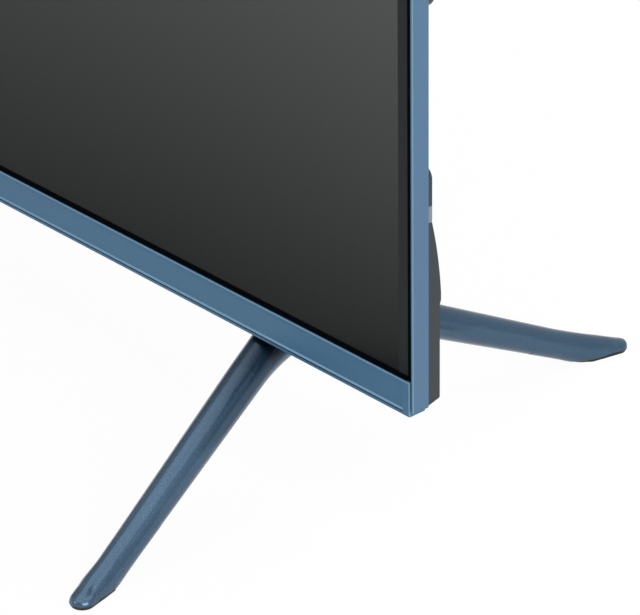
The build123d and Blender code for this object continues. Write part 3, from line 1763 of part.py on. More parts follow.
with BuildPart() as panel_cables:
    for side in (-1, 1):
        with BuildSketch(side_on(side * panel_ribbon_x - panel_ribbon_width / 2)):
            with BuildLine():
                Polyline(
                    (source_back + ribbon_thickness / 2, source_board_foot + ribbon_rise),
                    (source_back + ribbon_thickness / 2, slot_height),
                    (pan_back + ribbon_rise, slot_height),
                    (tcon_back + ribbon_thickness / 2, tcon_foot - ribbon_rise),
                    (tcon_back + ribbon_thickness / 2, tcon_foot + ribbon_rise),
                )
            trace(line_width=ribbon_thickness)
        extrude(amount=panel_ribbon_width)
panel_cables.part.label = "panel_cables"
export_step(panel_cables.part, "parts/panel_cables.step")


def lead(points):
    """Round lead that follows a run of points with rounded bends."""
    with BuildLine() as path:
        FilletPolyline(*points, radius=lead_bend)
    with BuildSketch(Plane(path.line @ 0, z_dir=path.line % 0)) as round_section:
        Circle(lead_radius)
    sweep(sections=round_section.sketch, path=path.line)


# Leads: power board to main board, light bar to power board, main board to the speakers
lead_depth = board_back + lead_clearance + lead_radius
with BuildPart() as power_harness:
    low_depth = pan_back + harness_clearance + lead_radius
    lead(
        [
            spot(-harness_end_x, lead_depth, harness_height),
            spot(-harness_rise_x, lead_depth, harness_height),
            spot(-harness_low_x, low_depth, harness_height),
            spot(harness_low_x, low_depth, harness_height),
            spot(harness_rise_x, lead_depth, harness_height),
            spot(harness_end_x, lead_depth, harness_height),
        ]
    )
    for side in (-1, 1):
        near, far = sorted((side * harness_end_x, side * (harness_end_x + plug_length)))
        block(
            (near, far),
            (board_back, board_back + plug_height),
            (harness_height - plug_width / 2, harness_height + plug_width / 2),
        )
power_harness.part.label = "power_harness"
export_step(power_harness.part, "parts/power_harness.step")

with BuildPart() as led_lead:
    lead(
        [
            spot(led_lead_x, pan_front, led_lead_height),
            spot(led_lead_x, led_lead_depth, led_lead_height),
            spot(led_lead_x, led_lead_depth, led_lead_turn),
            spot(led_lead_across_x, lead_depth, led_lead_board_height),
            spot(led_lead_end_x, lead_depth, led_lead_board_height),
        ]
    )
    block(
        (led_lead_end_x - plug_length, led_lead_end_x),
        (board_back, board_back + plug_height),
        (led_lead_board_height - plug_width / 2, led_lead_board_height + plug_width / 2),
    )
led_lead.part.label = "led_lead"
export_step(led_lead.part, "parts/led_lead.step")

with BuildPart() as speaker_leads:
    post(speaker_x, lead_depth, (speaker_top, speaker_lead_start), lead_radius)
    lead(
        [
            spot(speaker_lead_x, lead_depth, speaker_lead_start),
            spot(speaker_lead_x, lead_depth, speaker_lead_run),
            spot(-speaker_x, lead_depth, speaker_lead_run),
            spot(-speaker_x, lead_depth, speaker_top),
        ]
    )
    for x in (speaker_lead_x, speaker_x):
        block(
            (x - plug_width / 2, x + plug_width / 2),
            (board_back, board_back + plug_height),
            (speaker_lead_start, speaker_lead_start + plug_length),
        )
speaker_leads.part.label = "speaker_leads"
export_step(speaker_leads.part, "parts/speaker_leads.step")


# Sensor pod under the middle of the chin: a small tray with a window and a key
pod_middle = pod_front + pod_depth / 2
floor_top = pod_wall - pod_drop
window_middle = -pod_drop / 2
with BuildPart() as sensor_pod:
    with BuildSketch(flat(-pod_drop)):
        with Locations((0, pod_middle)):
            RectangleRounded(pod_width, pod_depth, radius=pod_round)
    extrude(amount=pod_drop)
    with BuildSketch(flat(floor_top)):
        with Locations((0, pod_middle)):
            RectangleRounded(
                pod_width - 2 * pod_wall,
                pod_depth - 2 * pod_wall,
                radius=pod_round - pod_wall,
            )
    extrude(amount=pod_drop, mode=Mode.SUBTRACT)
    block(
        (window_x - window_width / 2, window_x + window_width / 2),
        (pod_front - overrun, pod_middle),
        (window_middle - window_height / 2, window_middle + window_height / 2),
        mode=Mode.SUBTRACT,
    )
    with BuildSketch(flat(-pod_drop - overrun)):
        with Locations((key_x, pod_middle)):
            RectangleRounded(
                key_length + 2 * key_clearance,
                key_width + 2 * key_clearance,
                radius=key_round + key_clearance,
            )
    extrude(amount=overrun + 2 * pod_wall, mode=Mode.SUBTRACT)
sensor_pod.part.label = "sensor_pod"
export_step(sensor_pod.part, "parts/sensor_pod.step")

with BuildPart() as ir_window:
    block(
        (window_x - window_width / 2, window_x + window_width / 2),
        (pod_front + seat_gap, pod_front + seat_gap + window_thickness),
        (window_middle - window_height / 2, window_middle + window_height / 2),
    )
ir_window.part.label = "ir_window"
export_step(ir_window.part, "parts/ir_window.step")

# Board in the pod with the remote receiver and the switch that the key presses
switch_foot = -key_board_thickness - switch_height
with BuildPart() as sensor_board:
    block(
        (-key_board_length / 2, key_board_length / 2),
        (pod_front + pod_wall + seat_gap, pod_front + pod_depth - pod_wall - seat_gap),
        (-key_board_thickness, 0),
    )
    block(
        (key_x - switch_size / 2, key_x + switch_size / 2),
        (pod_middle - key_width / 2, pod_middle + key_width / 2),
        (switch_foot, -key_board_thickness),
    )
    block(
        (window_x - receiver_size / 2, window_x + receiver_size / 2),
        (pod_middle - receiver_size / 2, pod_middle + receiver_size / 2),
        (-key_board_thickness - receiver_height, -key_board_thickness),
    )
sensor_board.part.label = "sensor_board"
export_step(sensor_board.part, "parts/sensor_board.step")

# Power key: a bar that shows under the pod, a flange that rests on its floor, and a stem
with BuildPart() as power_key:
    with BuildSketch(flat(-pod_drop - key_proud)):
        with Locations((key_x, pod_middle)):
            RectangleRounded(key_length, key_width, radius=key_round)
    extrude(amount=key_proud + pod_wall)
    with BuildSketch(flat(floor_top)):
        with Locations((key_x, pod_middle)):
            Rectangle(key_length + 2 * key_flange, key_width)
    extrude(amount=key_flange_thickness)
    post(key_x, pod_middle, (floor_top, switch_foot - key_travel - switch_gap), key_stem_radius)
power_key.part.label = "power_key"
export_step(power_key.part, "parts/power_key.step")
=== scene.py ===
"""Looks for a flat screen television of the 55-inch class on bowed legs.

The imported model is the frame. Every CAD node gets a procedural material here, the screws get
crossed heads and the legs get smooth toes. Lengths in the code are metres.
"""

from math import cos, pi, radians, sin

import bpy
import numpy as np
from bpy.props import FloatProperty, FloatVectorProperty, IntProperty, PointerProperty
from bpy.types import Operator, Panel, PropertyGroup
from mathutils import Matrix, Vector


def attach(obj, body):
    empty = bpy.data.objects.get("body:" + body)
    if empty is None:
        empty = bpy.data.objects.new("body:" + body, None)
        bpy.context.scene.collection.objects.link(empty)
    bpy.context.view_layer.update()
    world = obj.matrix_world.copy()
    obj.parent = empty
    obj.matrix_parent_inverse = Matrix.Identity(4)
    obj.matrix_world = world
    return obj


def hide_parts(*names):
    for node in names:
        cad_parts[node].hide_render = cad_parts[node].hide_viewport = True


bl_info = {
    "name": "Flat Screen Television Looks",
    "version": (1, 0, 0),
    "blender": (4, 5, 0),
    "location": "View3D > Sidebar > Television",
    "description": "Materials, toes, screw heads and studio stage of a flat screen television",
    "category": "Object",
}

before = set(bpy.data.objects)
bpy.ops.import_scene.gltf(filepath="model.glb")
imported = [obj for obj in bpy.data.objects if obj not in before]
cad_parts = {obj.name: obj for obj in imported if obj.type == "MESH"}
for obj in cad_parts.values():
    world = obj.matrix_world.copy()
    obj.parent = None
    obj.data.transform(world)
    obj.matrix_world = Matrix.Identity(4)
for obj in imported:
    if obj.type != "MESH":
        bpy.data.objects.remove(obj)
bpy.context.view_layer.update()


# Sizes and colours that a user would change

class FrameSettings(PropertyGroup):
    """Colours and grain of the blue strips and the chin."""
    paint: FloatVectorProperty(
        name="Paint", description="Colour of the strips and the chin",
        default=(0.05, 0.138, 0.238), size=3, subtype="COLOR", min=0, max=1)
    # Painted light: a lighter, redder copy of the paint for the upright strips, for their brighter look under
    # the side light.
    side_paint_with_painted_light: FloatVectorProperty(
        name="Side paint", description="Colour of the upright strips",
        default=(0.068, 0.145, 0.238), size=3, subtype="COLOR", min=0, max=1)
    # Painted shade: gaps and grooves narrower than this get a darkened paint.
    gap_reach: FloatProperty(
        name="Gap reach", description="Width of the gaps and grooves in which the paint looks dark",
        default=0.0016, min=0.0001, unit="LENGTH")
    # Painted highlight: colour of the bevels and rounded edges that don't look down.
    bevel: FloatVectorProperty(
        name="Bevel", description="Colour of the bright bevels and rounded edges",
        default=(0.135, 0.255, 0.36), size=3, subtype="COLOR", min=0, max=1)
    roughness: FloatProperty(
        name="Roughness", description="How blurred reflections in the paint are",
        default=0.42, min=0, max=1, subtype="FACTOR")
    grain: FloatProperty(
        name="Grain length", description="Length of the fine drawn grain along a strip",
        default=0.09, min=0.001, unit="LENGTH")


class ScreenSettings(PropertyGroup):
    """Sizes and shades of the picture glass."""
    picture_half_width: FloatProperty(
        name="Picture half width", description="From the middle to the side of the picture",
        default=0.6048, min=0.1, unit="LENGTH")
    picture_foot: FloatProperty(
        name="Picture foot", description="Height of the picture's lower edge above the floor",
        default=0.0859, min=0, unit="LENGTH")
    picture_height: FloatProperty(
        name="Picture height", description="Height of the picture",
        default=0.6804, min=0.1, unit="LENGTH")
    border: FloatVectorProperty(
        name="Border", description="Colour of the black border behind the glass",
        default=(0.0085, 0.0105, 0.0125), size=3, subtype="COLOR", min=0, max=1)
    picture: FloatVectorProperty(
        name="Picture", description="Colour of the dark picture area at its foot",
        default=(0.002, 0.0028, 0.0026), size=3, subtype="COLOR", min=0, max=1)
    # Painted reflection: colour of the picture area higher up and towards the right.
    painted_reflection: FloatVectorProperty(
        name="Haze", description="Colour of the picture area higher up, where its coat looks milky",
        default=(0.068, 0.072, 0.07), size=3, subtype="COLOR", min=0, max=1)


class CoverSettings(PropertyGroup):
    """Colour and texture of the rear moulding."""
    plastic: FloatVectorProperty(
        name="Plastic", description="Colour of the rear moulding",
        default=(0.0145, 0.0195, 0.0235), size=3, subtype="COLOR", min=0, max=1)
    pad: FloatVectorProperty(
        name="Pad foot", description="Colour of the light foot of the lowest pads",
        default=(0.16, 0.18, 0.2), size=3, subtype="COLOR", min=0, max=1)
    light_foot: FloatProperty(
        name="Light foot", description="Height above the floor up to which a low pad is light",
        default=0.1628, min=0, unit="LENGTH")
    texture: FloatProperty(
        name="Texture size", description="Size of the moulding's fine texture",
        default=0.0009, min=0.0001, unit="LENGTH")


class LegSettings(PropertyGroup):
    """Paint of the legs, and the line and bar that their toes follow."""
    paint: FloatVectorProperty(
        name="Paint", description="Colour of the legs' metallic paint",
        default=(0.038, 0.087, 0.148), size=3, subtype="COLOR", min=0, max=1)
    flake: FloatProperty(
        name="Flake size", description="Size of the flakes in the paint",
        default=0.00045, min=0.0001, unit="LENGTH")
    roughness: FloatProperty(
        name="Roughness", description="How blurred reflections in the clear coat are",
        default=0.06, min=0, max=1, subtype="FACTOR")
    shaded: FloatVectorProperty(
        name="Shaded", description="Colour of the paint where the chin shades it",
        default=(0.0015, 0.0055, 0.013), size=3, subtype="COLOR", min=0, max=1)
    shade_reach: FloatProperty(
        name="Shade reach", description="How far from the chin the paint looks darker",
        default=0.07, min=0.001, unit="LENGTH")
    shade_foot: FloatProperty(
        name="Shade foot", description="Height above the floor under which the paint isn't darker",
        default=0.035, min=0, unit="LENGTH")
    rim: FloatProperty(
        name="Rim", description="Height of the black rim round each sole",
        default=0.0017, min=0, unit="LENGTH")
    toe_x: FloatProperty(
        name="Toe place",
        description="From the middle of the set to the point where a leg's line meets the floor",
        default=0.5435, min=0, unit="LENGTH")
    toe_reach: FloatProperty(
        name="Toe reach", description="From the leg's plane to that point, to the front or the back",
        default=0.1522, min=0, unit="LENGTH")
    splay: FloatProperty(
        name="Splay", description="Turn of a leg's line outward, seen from above",
        default=0.2333, subtype="ANGLE")
    slope: FloatProperty(
        name="Slope", description="Fall of a leg's line below the level", default=0.4313, subtype="ANGLE")
    bar_radius: FloatProperty(
        name="Bar radius", description="Radius of the leg's bar where its line meets the floor",
        default=0.0063, min=0, unit="LENGTH")
    bar_taper: FloatProperty(
        name="Bar taper", description="Fall of the bar's radius for each metre towards the toe",
        default=0.01786, min=0)


class ScrewSettings(PropertyGroup):
    """Shape of the screw heads, in shares of a head's radius where no unit is given."""
    lines: IntProperty(
        name="Lines", description="Lines across each quarter of a head's face", default=5, min=3, max=12)
    arm: FloatProperty(
        name="Arm", description="Half width of an arm of the cross recess", default=0.15, min=0.02, max=0.3)
    reach: FloatProperty(
        name="Reach", description="Length of an arm from the head's middle", default=0.56, min=0.3, max=0.9)
    recess: FloatProperty(
        name="Recess depth", description="Depth of the cross recess", default=0.0011, min=0, unit="LENGTH")
    crown: FloatProperty(
        name="Crown", description="Fall of a head's face from the middle to its side",
        default=0.0007, min=0, unit="LENGTH")


class StageSettings(PropertyGroup):
    """Camera and lights."""
    lens: FloatProperty(
        name="Lens", description="Focal length for a sensor 36 mm wide", default=204.39, min=1)
    azimuth: FloatProperty(
        name="Azimuth", description="Turn of the camera from the screen's normal, to the right",
        default=radians(48.3136), subtype="ANGLE")
    elevation: FloatProperty(
        name="Elevation", description="Tilt of the camera down", default=radians(28.1787), subtype="ANGLE")
    roll: FloatProperty(
        name="Roll", description="Turn of the camera about its own axis",
        default=radians(-0.9095), subtype="ANGLE")
    distance: FloatProperty(
        name="Distance", description="From the camera to the plane of the set's lower corner",
        default=1.51402, min=0.1, unit="LENGTH")
    ambient: FloatProperty(
        name="Ambient", description="Strength of the even light from all round", default=0.5, min=0)
    front: FloatProperty(
        name="Front light", description="Power of the large soft light in front",
        default=36.0, min=0, unit="POWER")
    side: FloatProperty(
        name="Side light", description="Power of the large soft light at the right",
        default=60.0, min=0, unit="POWER")
    top: FloatProperty(
        name="Top light", description="Power of the large soft light above",
        default=64.0, min=0, unit="POWER")


SETTINGS = {
    "tv_frame": FrameSettings,
    "tv_screen": ScreenSettings,
    "tv_cover": CoverSettings,
    "tv_leg": LegSettings,
    "tv_screw": ScrewSettings,
    "tv_stage": StageSettings,
}


# Shader tools

def new_group(name, inputs, outputs):
    """Empty shader node group with named inputs (name, socket type, default) and outputs."""
    group = bpy.data.node_groups.new(name, "ShaderNodeTree")
    for label, kind, value in inputs:
        socket = group.interface.new_socket(label, in_out="INPUT", socket_type=kind)
        if value is not None:
            socket.default_value = value
    for label, kind in outputs:
        group.interface.new_socket(label, in_out="OUTPUT", socket_type=kind)
    return group, group.nodes.new("NodeGroupInput"), group.nodes.new("NodeGroupOutput")


def put(tree, kind, **values):
    """New node in a tree, with its properties and the values of its named inputs set."""
    node = tree.nodes.new(kind)
    for key, value in values.items():
        if hasattr(node, key):
            setattr(node, key, value)
        else:
            node.inputs[key.replace("_", " ")].default_value = value
    return node


def math_node(tree, operation, a, b=None, clamp=False):
    """Math node whose operands are numbers or sockets; gives its output socket."""
    node = tree.nodes.new("ShaderNodeMath")
    node.operation = operation
    node.use_clamp = clamp
    for slot, value in zip(node.inputs, (a, b)):
        if value is None:
            continue
        if isinstance(value, (int, float)):
            slot.default_value = value
        else:
            tree.links.new(value, slot)
    return node.outputs[0]


def mix_colour(tree, factor, a, b):
    """Colour mix whose factor and colours are values or sockets; gives its colour socket."""
    node = tree.nodes.new("ShaderNodeMix")
    node.data_type = "RGBA"
    sockets = (node.inputs[0], node.inputs[6], node.inputs[7])
    for slot, value in zip(sockets, (factor, a, b)):
        if isinstance(value, (int, float)):
            slot.default_value = value
        elif isinstance(value, (tuple, list)):
            slot.default_value = (*value[:3], 1.0)
        else:
            tree.links.new(value, slot)
    return node.outputs[2]


def axes(tree, vector):
    """A vector's three shares along the axes, as sockets."""
    parts = tree.nodes.new("ShaderNodeSeparateXYZ")
    tree.links.new(vector, parts.inputs[0])
    return parts.outputs


def surface_axes(tree):
    """The surface normal's three shares along the axes, as sockets."""
    return axes(tree, tree.nodes.new("ShaderNodeNewGeometry").outputs["Normal"])


def ramp(tree, value, start, end, low=0.0):
    """Straight change of a value from low at start to 1 at end, and level past them."""
    node = put(tree, "ShaderNodeMapRange", From_Min=start, From_Max=end, To_Min=low)
    tree.links.new(value, node.inputs["Value"])
    return node.outputs["Result"]


def around(tree, value, amount, middle):
    """A value times an amount, plus a middle, held between 0 and 1."""
    return math_node(tree, "ADD", math_node(tree, "MULTIPLY", value, amount), middle, clamp=True)


def centred(tree, value, amount):
    """How far a value lies from a half, times an amount."""
    return math_node(tree, "MULTIPLY", math_node(tree, "SUBTRACT", value, 0.5), amount)


def noise_at(tree, vector, scale, detail, roughness):
    """Noise at coordinates, from 0 to 1."""
    noise = put(tree, "ShaderNodeTexNoise", Scale=scale, Detail=detail, Roughness=roughness)
    tree.links.new(vector, noise.inputs["Vector"])
    return noise.outputs["Fac"]


def in_sizes(tree, given):
    """A group's coordinates counted in its Size."""
    node = tree.nodes.new("ShaderNodeVectorMath")
    node.operation = "DIVIDE"
    tree.links.new(given.outputs["Vector"], node.inputs[0])
    tree.links.new(given.outputs["Size"], node.inputs[1])
    return node.outputs[0]


def make_grain_group():
    """Drawn grain: noise stretched along one axis. Height is the noise; Shade is its dark and light share.

    The coordinate along the grain is divided by Length and the two across it by Width, so streaks are as
    long and wide as these.
    """
    tree, given, result = new_group(
        "drawn_grain",
        [("Vector", "NodeSocketVector", None), ("Length", "NodeSocketFloat", 0.09),
         ("Width", "NodeSocketFloat", 0.0004)],
        [("Height", "NodeSocketFloat"), ("Shade", "NodeSocketFloat")],
    )
    join = tree.nodes.new("ShaderNodeCombineXYZ")
    parts = axes(tree, given.outputs["Vector"])
    for slot, part, size in zip(join.inputs, parts, ("Length", "Width", "Width")):
        tree.links.new(math_node(tree, "DIVIDE", part, given.outputs[size]), slot)
    height = noise_at(tree, join.outputs[0], 1.0, 3.0, 0.6)
    tree.links.new(height, result.inputs["Height"])
    tree.links.new(centred(tree, height, 2.0), result.inputs["Shade"])
    return tree


def make_texture_group():
    """Spark-eroded moulding: fine noise gives the height, and with a slow noise it gives the shade."""
    tree, given, result = new_group(
        "moulded_texture",
        [("Vector", "NodeSocketVector", None), ("Size", "NodeSocketFloat", 0.0009)],
        [("Height", "NodeSocketFloat"), ("Shade", "NodeSocketFloat")],
    )
    fine = noise_at(tree, in_sizes(tree, given), 1.0, 4.0, 0.65)
    slow = noise_at(tree, given.outputs["Vector"], 9.0, 2.0, 0.5)
    tree.links.new(fine, result.inputs["Height"])
    tree.links.new(
        math_node(tree, "ADD", centred(tree, fine, 0.6), centred(tree, slow, 1.0)), result.inputs["Shade"])
    return tree


def make_flake_group():
    """Metallic flakes: each cell of a Voronoi pattern is one flake with its own brightness and tilt."""
    tree, given, result = new_group(
        "paint_flakes",
        [("Vector", "NodeSocketVector", None), ("Size", "NodeSocketFloat", 0.00045)],
        [("Sparkle", "NodeSocketFloat"), ("Tilt", "NodeSocketFloat")],
    )
    cells = put(tree, "ShaderNodeTexVoronoi", Scale=1.0)
    tree.links.new(in_sizes(tree, given), cells.inputs["Vector"])
    parts = tree.nodes.new("ShaderNodeSeparateColor")
    tree.links.new(cells.outputs["Color"], parts.inputs[0])
    tree.links.new(math_node(tree, "POWER", parts.outputs[0], 6.0), result.inputs["Sparkle"])
    tree.links.new(parts.outputs[1], result.inputs["Tilt"])
    return tree


def make_bevel_highlight_group():
    """Painted highlight on bevels: Mask is 0 where a face looks along an axis and 1 where it looks between
    two.

    The largest share of the normal along an axis is 1 on a flat face and less on a slanted or rounded edge.
    Slanted edges that look down get no painted highlight and stay as the paint.
    """
    tree, _, result = new_group(
        "painted_bevel_highlight", [("Vector", "NodeSocketVector", None)], [("Mask", "NodeSocketFloat")])
    parts = surface_axes(tree)
    shares = [math_node(tree, "ABSOLUTE", part) for part in parts]
    largest = math_node(tree, "MAXIMUM", shares[0], math_node(tree, "MAXIMUM", shares[1], shares[2]))
    slanted = ramp(tree, largest, 0.985, 0.9)
    raised = ramp(tree, parts[2], -0.25, -0.05)
    tree.links.new(math_node(tree, "MULTIPLY", slanted, raised), result.inputs["Mask"])
    return tree


def make_dust_group():
    """Fine dust: more where a face looks up, broken up by noise. Mask runs from 0 to 1."""
    tree, given, result = new_group(
        "fine_dust",
        [("Vector", "NodeSocketVector", None), ("Amount", "NodeSocketFloat", 0.3)],
        [("Mask", "NodeSocketFloat")],
    )
    up = math_node(tree, "POWER", math_node(tree, "MAXIMUM", surface_axes(tree)[2], 0.0), 3.0)
    grains = math_node(tree, "MULTIPLY", noise_at(tree, given.outputs["Vector"], 60.0, 5.0, 0.7), 1.6)
    broken = math_node(tree, "MULTIPLY", up, grains, clamp=True)
    tree.links.new(
        math_node(tree, "MULTIPLY", broken, given.outputs["Amount"], clamp=True), result.inputs["Mask"])
    return tree


GROUP_MAKERS = {
    "drawn_grain": make_grain_group,
    "moulded_texture": make_texture_group,
    "paint_flakes": make_flake_group,
    "fine_dust": make_dust_group,
    "painted_bevel_highlight": make_bevel_highlight_group,
}
GROUPS = {}


def shared(name):
    """The shared shader group of that name, built the first time it is asked for."""
    if name not in GROUPS:
        GROUPS[name] = GROUP_MAKERS[name]()
    return GROUPS[name]


def fresh_tree(owner):
    """The emptied node tree of a material or world."""
    owner.use_nodes = True
    owner.node_tree.nodes.clear()
    return owner.node_tree


def new_material(name, **shader):
    """Material with one Principled BSDF, whose named inputs are set.

    Gives the material, its tree, the shader and the coordinates.
    """
    material = bpy.data.materials.new(name)
    tree = fresh_tree(material)
    output = tree.nodes.new("ShaderNodeOutputMaterial")
    body = tree.nodes.new("ShaderNodeBsdfPrincipled")
    for key, value in shader.items():
        slot = body.inputs[key.replace("_", " ")]
        slot.default_value = (*value, 1.0) if isinstance(value, (tuple, list)) else value
    tree.links.new(body.outputs[0], output.inputs["Surface"])
    where = tree.nodes.new("ShaderNodeTexCoord").outputs["Object"]
    return material, tree, body, where


def use_group(tree, name, where, **values):
    """A shared group placed in a material's tree, fed by coordinates and its own values."""
    node = tree.nodes.new("ShaderNodeGroup")
    node.node_tree = shared(name)
    tree.links.new(where, node.inputs["Vector"])
    for key, value in values.items():
        node.inputs[key].default_value = value
    return node


def add_bump(tree, body, height, strength, distance):
    """Bump from a height socket into the shader's normal."""
    bump = put(tree, "ShaderNodeBump", Strength=strength, Distance=distance)
    tree.links.new(height, bump.inputs["Height"])
    tree.links.new(bump.outputs[0], body.inputs["Normal"])


def tinted(tree, shade, low, high, amount):
    """Colour that swings between two colours with a shade from about -1 to 1."""
    return mix_colour(tree, around(tree, shade, amount, 0.5), low, high)


def scaled(colour, factor):
    """Colour times a factor, channel by channel."""
    return tuple(min(1.0, channel * factor) for channel in colour)


def openness(tree, reach, closed, opened):
    """Share of its surroundings that a point sees within a reach, drawn out to 0 at closed, 1 at opened."""
    shade = put(tree, "ShaderNodeAmbientOcclusion", samples=12, Distance=reach)
    return ramp(tree, shade.outputs["AO"], closed, opened)


DUST_GREY = (0.32, 0.31, 0.29)
# Shares of open surroundings at which the painted shade is darkest and at which the paint is plain
GAP_SHADE = (0.3, 0.62)
CHIN_SHADE = (0.61, 0.98)


def drawn_paint(name, settings, paint, axis):
    """Satin blue paint over drawn aluminium, its grain along X or Z, with painted shade in narrow gaps and a
    painted highlight on bevels.
    """
    material, tree, body, where = new_material(
        name, Base_Color=paint, Metallic=0.3, Roughness=settings.roughness, Specular_IOR_Level=0.35)
    if axis == "Z":
        turn = put(tree, "ShaderNodeMapping", Rotation=(0.0, pi / 2, 0.0))
        tree.links.new(where, turn.inputs["Vector"])
        where = turn.outputs[0]
    grain = use_group(tree, "drawn_grain", where, Length=settings.grain, Width=0.00035)
    colour = tinted(tree, grain.outputs["Shade"], scaled(paint, 0.94), scaled(paint, 1.06), 0.8)
    # Painted highlight on bevels and rounded edges that look up or sideways.
    bevel = use_group(tree, "painted_bevel_highlight", where)
    colour = mix_colour(tree, bevel.outputs["Mask"], colour, tuple(settings.bevel))
    # Painted shade: the paint darkens to a few percent of itself in narrow gaps and grooves.
    opened = openness(tree, settings.gap_reach, *GAP_SHADE)
    tree.links.new(mix_colour(tree, opened, scaled(paint, 0.06), colour), body.inputs["Base Color"])
    tree.links.new(around(tree, grain.outputs["Shade"], 0.06, settings.roughness), body.inputs["Roughness"])
    add_bump(tree, body, grain.outputs["Height"], 0.12, 0.00005)
    return material


def moulding(name, colour, roughness, size, strength, gloss=0.5):
    """Material of a moulding with a fine bump texture, before its colour is linked.

    Gives the material, its tree, the shader, the coordinates and the texture's shade.
    """
    material, tree, body, where = new_material(
        name, Base_Color=colour, Roughness=roughness, Specular_IOR_Level=gloss)
    texture = use_group(tree, "moulded_texture", where, Size=size)
    shade = texture.outputs["Shade"]
    tree.links.new(around(tree, shade, 0.1, roughness), body.inputs["Roughness"])
    add_bump(tree, body, texture.outputs["Height"], strength, size * 0.12)
    return material, tree, body, where, shade


def swung(tree, shade, colour, swing):
    """Colour that a texture's shade makes darker and lighter by a swing."""
    return tinted(tree, shade, scaled(colour, 1 - swing), scaled(colour, 1 + swing), 0.9)


def moulded_plastic(
        name, colour, roughness=0.55, size=0.0009, strength=0.25, dust=0.0, swing=0.12, gloss=0.5):
    """Matt moulding with a slow change of shade and, if asked for, dust on faces that look up."""
    material, tree, body, where, shade = moulding(name, colour, roughness, size, strength, gloss)
    tone = swung(tree, shade, colour, swing)
    if dust > 0:
        layer = use_group(tree, "fine_dust", where, Amount=dust)
        tone = mix_colour(tree, layer.outputs["Mask"], tone, DUST_GREY)
    tree.links.new(tone, body.inputs["Base Color"])
    return material


def bare_metal(name, colour, roughness=0.35, length=0.012, width=0.0003):
    """Bare or plated metal with short drawn scratches."""
    material, tree, body, where = new_material(name, Base_Color=colour, Metallic=1.0, Roughness=roughness)
    grain = use_group(tree, "drawn_grain", where, Length=length, Width=width)
    tree.links.new(
        tinted(tree, grain.outputs["Shade"], scaled(colour, 0.85), scaled(colour, 1.12), 0.9),
        body.inputs["Base Color"])
    tree.links.new(around(tree, grain.outputs["Shade"], 0.12, roughness), body.inputs["Roughness"])
    add_bump(tree, body, grain.outputs["Height"], 0.15, 0.00003)
    return material


def dress(material, *nodes):
    """Gives a material to CAD nodes."""
    for name in nodes:
        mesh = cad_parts[name].data
        mesh.materials.clear()
        mesh.materials.append(material)


# Frame, screen and rear cover

class TV_OT_dress_frame(Operator):
    """Blue paint with a drawn grain on the chin and the strips"""
    bl_idname = "tv.dress_frame"
    bl_label = "Dress Frame"

    def execute(self, context):
        settings = context.scene.tv_frame
        dress(drawn_paint("blue_paint_across", settings, tuple(settings.paint), "X"),
              "chin_panel", "top_frame")
        # The upright strips get the lighter copy of the paint as painted light.
        dress(drawn_paint("blue_paint_upright_painted_light", settings, tuple(settings.side_paint_with_painted_light), "Z"),
              "side_frame_right", "side_frame_left")
        return {"FINISHED"}


GLASS_ROUGHNESS = 0.24
# Height over which the painted reflection comes in, and its share at the middle of the picture
REFLECTION_RISE = 0.2
REFLECTION_MIDDLE = 0.42


def picture_glass(settings):
    """Glass with an anti-glare coat over a dark picture area and a black border.

    Inside is 1 where |x| is under the half width and the height lies between foot and top.
    The painted reflection rises in a straight line with height over its rise and then stays, and from its
    share at the middle of the picture it grows to 1 at the right side.
    """
    material, tree, body, where = new_material(
        "picture_glass", Base_Color=tuple(settings.picture), Roughness=GLASS_ROUGHNESS,
        Specular_IOR_Level=0.12)
    across, _, height = axes(tree, where)
    foot, top = settings.picture_foot, settings.picture_foot + settings.picture_height
    inside = math_node(tree, "LESS_THAN", math_node(tree, "ABSOLUTE", across), settings.picture_half_width)
    for side, limit in (("GREATER_THAN", foot), ("LESS_THAN", top)):
        inside = math_node(tree, "MULTIPLY", inside, math_node(tree, side, height, limit))
    # Painted reflection: lighter towards the top and the right of the picture.
    painted_reflection_mask = math_node(
        tree, "MULTIPLY", ramp(tree, height, foot, foot + REFLECTION_RISE),
        ramp(tree, across, 0.0, settings.picture_half_width, REFLECTION_MIDDLE))
    painted_reflection = mix_colour(tree, painted_reflection_mask, tuple(settings.picture), tuple(settings.painted_reflection))
    tree.links.new(mix_colour(tree, inside, tuple(settings.border), painted_reflection), body.inputs["Base Color"])
    texture = use_group(tree, "moulded_texture", where, Size=0.00025)
    tree.links.new(
        around(tree, texture.outputs["Shade"], 0.03, GLASS_ROUGHNESS), body.inputs["Roughness"])
    add_bump(tree, body, texture.outputs["Height"], 0.05, 0.00001)
    return material


class TV_OT_dress_screen(Operator):
    """Picture glass with its border, and the sheets behind it"""
    bl_idname = "tv.dress_screen"
    bl_label = "Dress Screen"

    def execute(self, context):
        dress(picture_glass(context.scene.tv_screen), "screen_panel")
        dress(moulded_plastic("black_foam", (0.012, 0.012, 0.013), 0.9, 0.0006, 0.4), "panel_tape")
        # Black foam seal, made blacker than foam and without gloss: a painted shadow in the gap between the
        # chin and the glass.
        dress(moulded_plastic("black_seal_painted_shadow", (0.002, 0.0025, 0.0035), 0.9, 0.0006, 0.4, gloss=0.0),
              "glass_seal")
        dress(moulded_plastic("black_rail", (0.03, 0.038, 0.048), 0.55), "mid_frame")
        dress(moulded_plastic("white_sheet", (0.8, 0.8, 0.78), 0.5, 0.0012, 0.05, swing=0.03),
              "diffuser_sheets", "reflector_sheet")
        dress(moulded_plastic("clear_guide", (0.7, 0.73, 0.74), 0.08, 0.004, 0.02, swing=0.03), "light_guide")
        dress(moulded_plastic("white_board", (0.72, 0.72, 0.69), 0.35, 0.002, 0.05, swing=0.05), "led_bar")
        return {"FINISHED"}


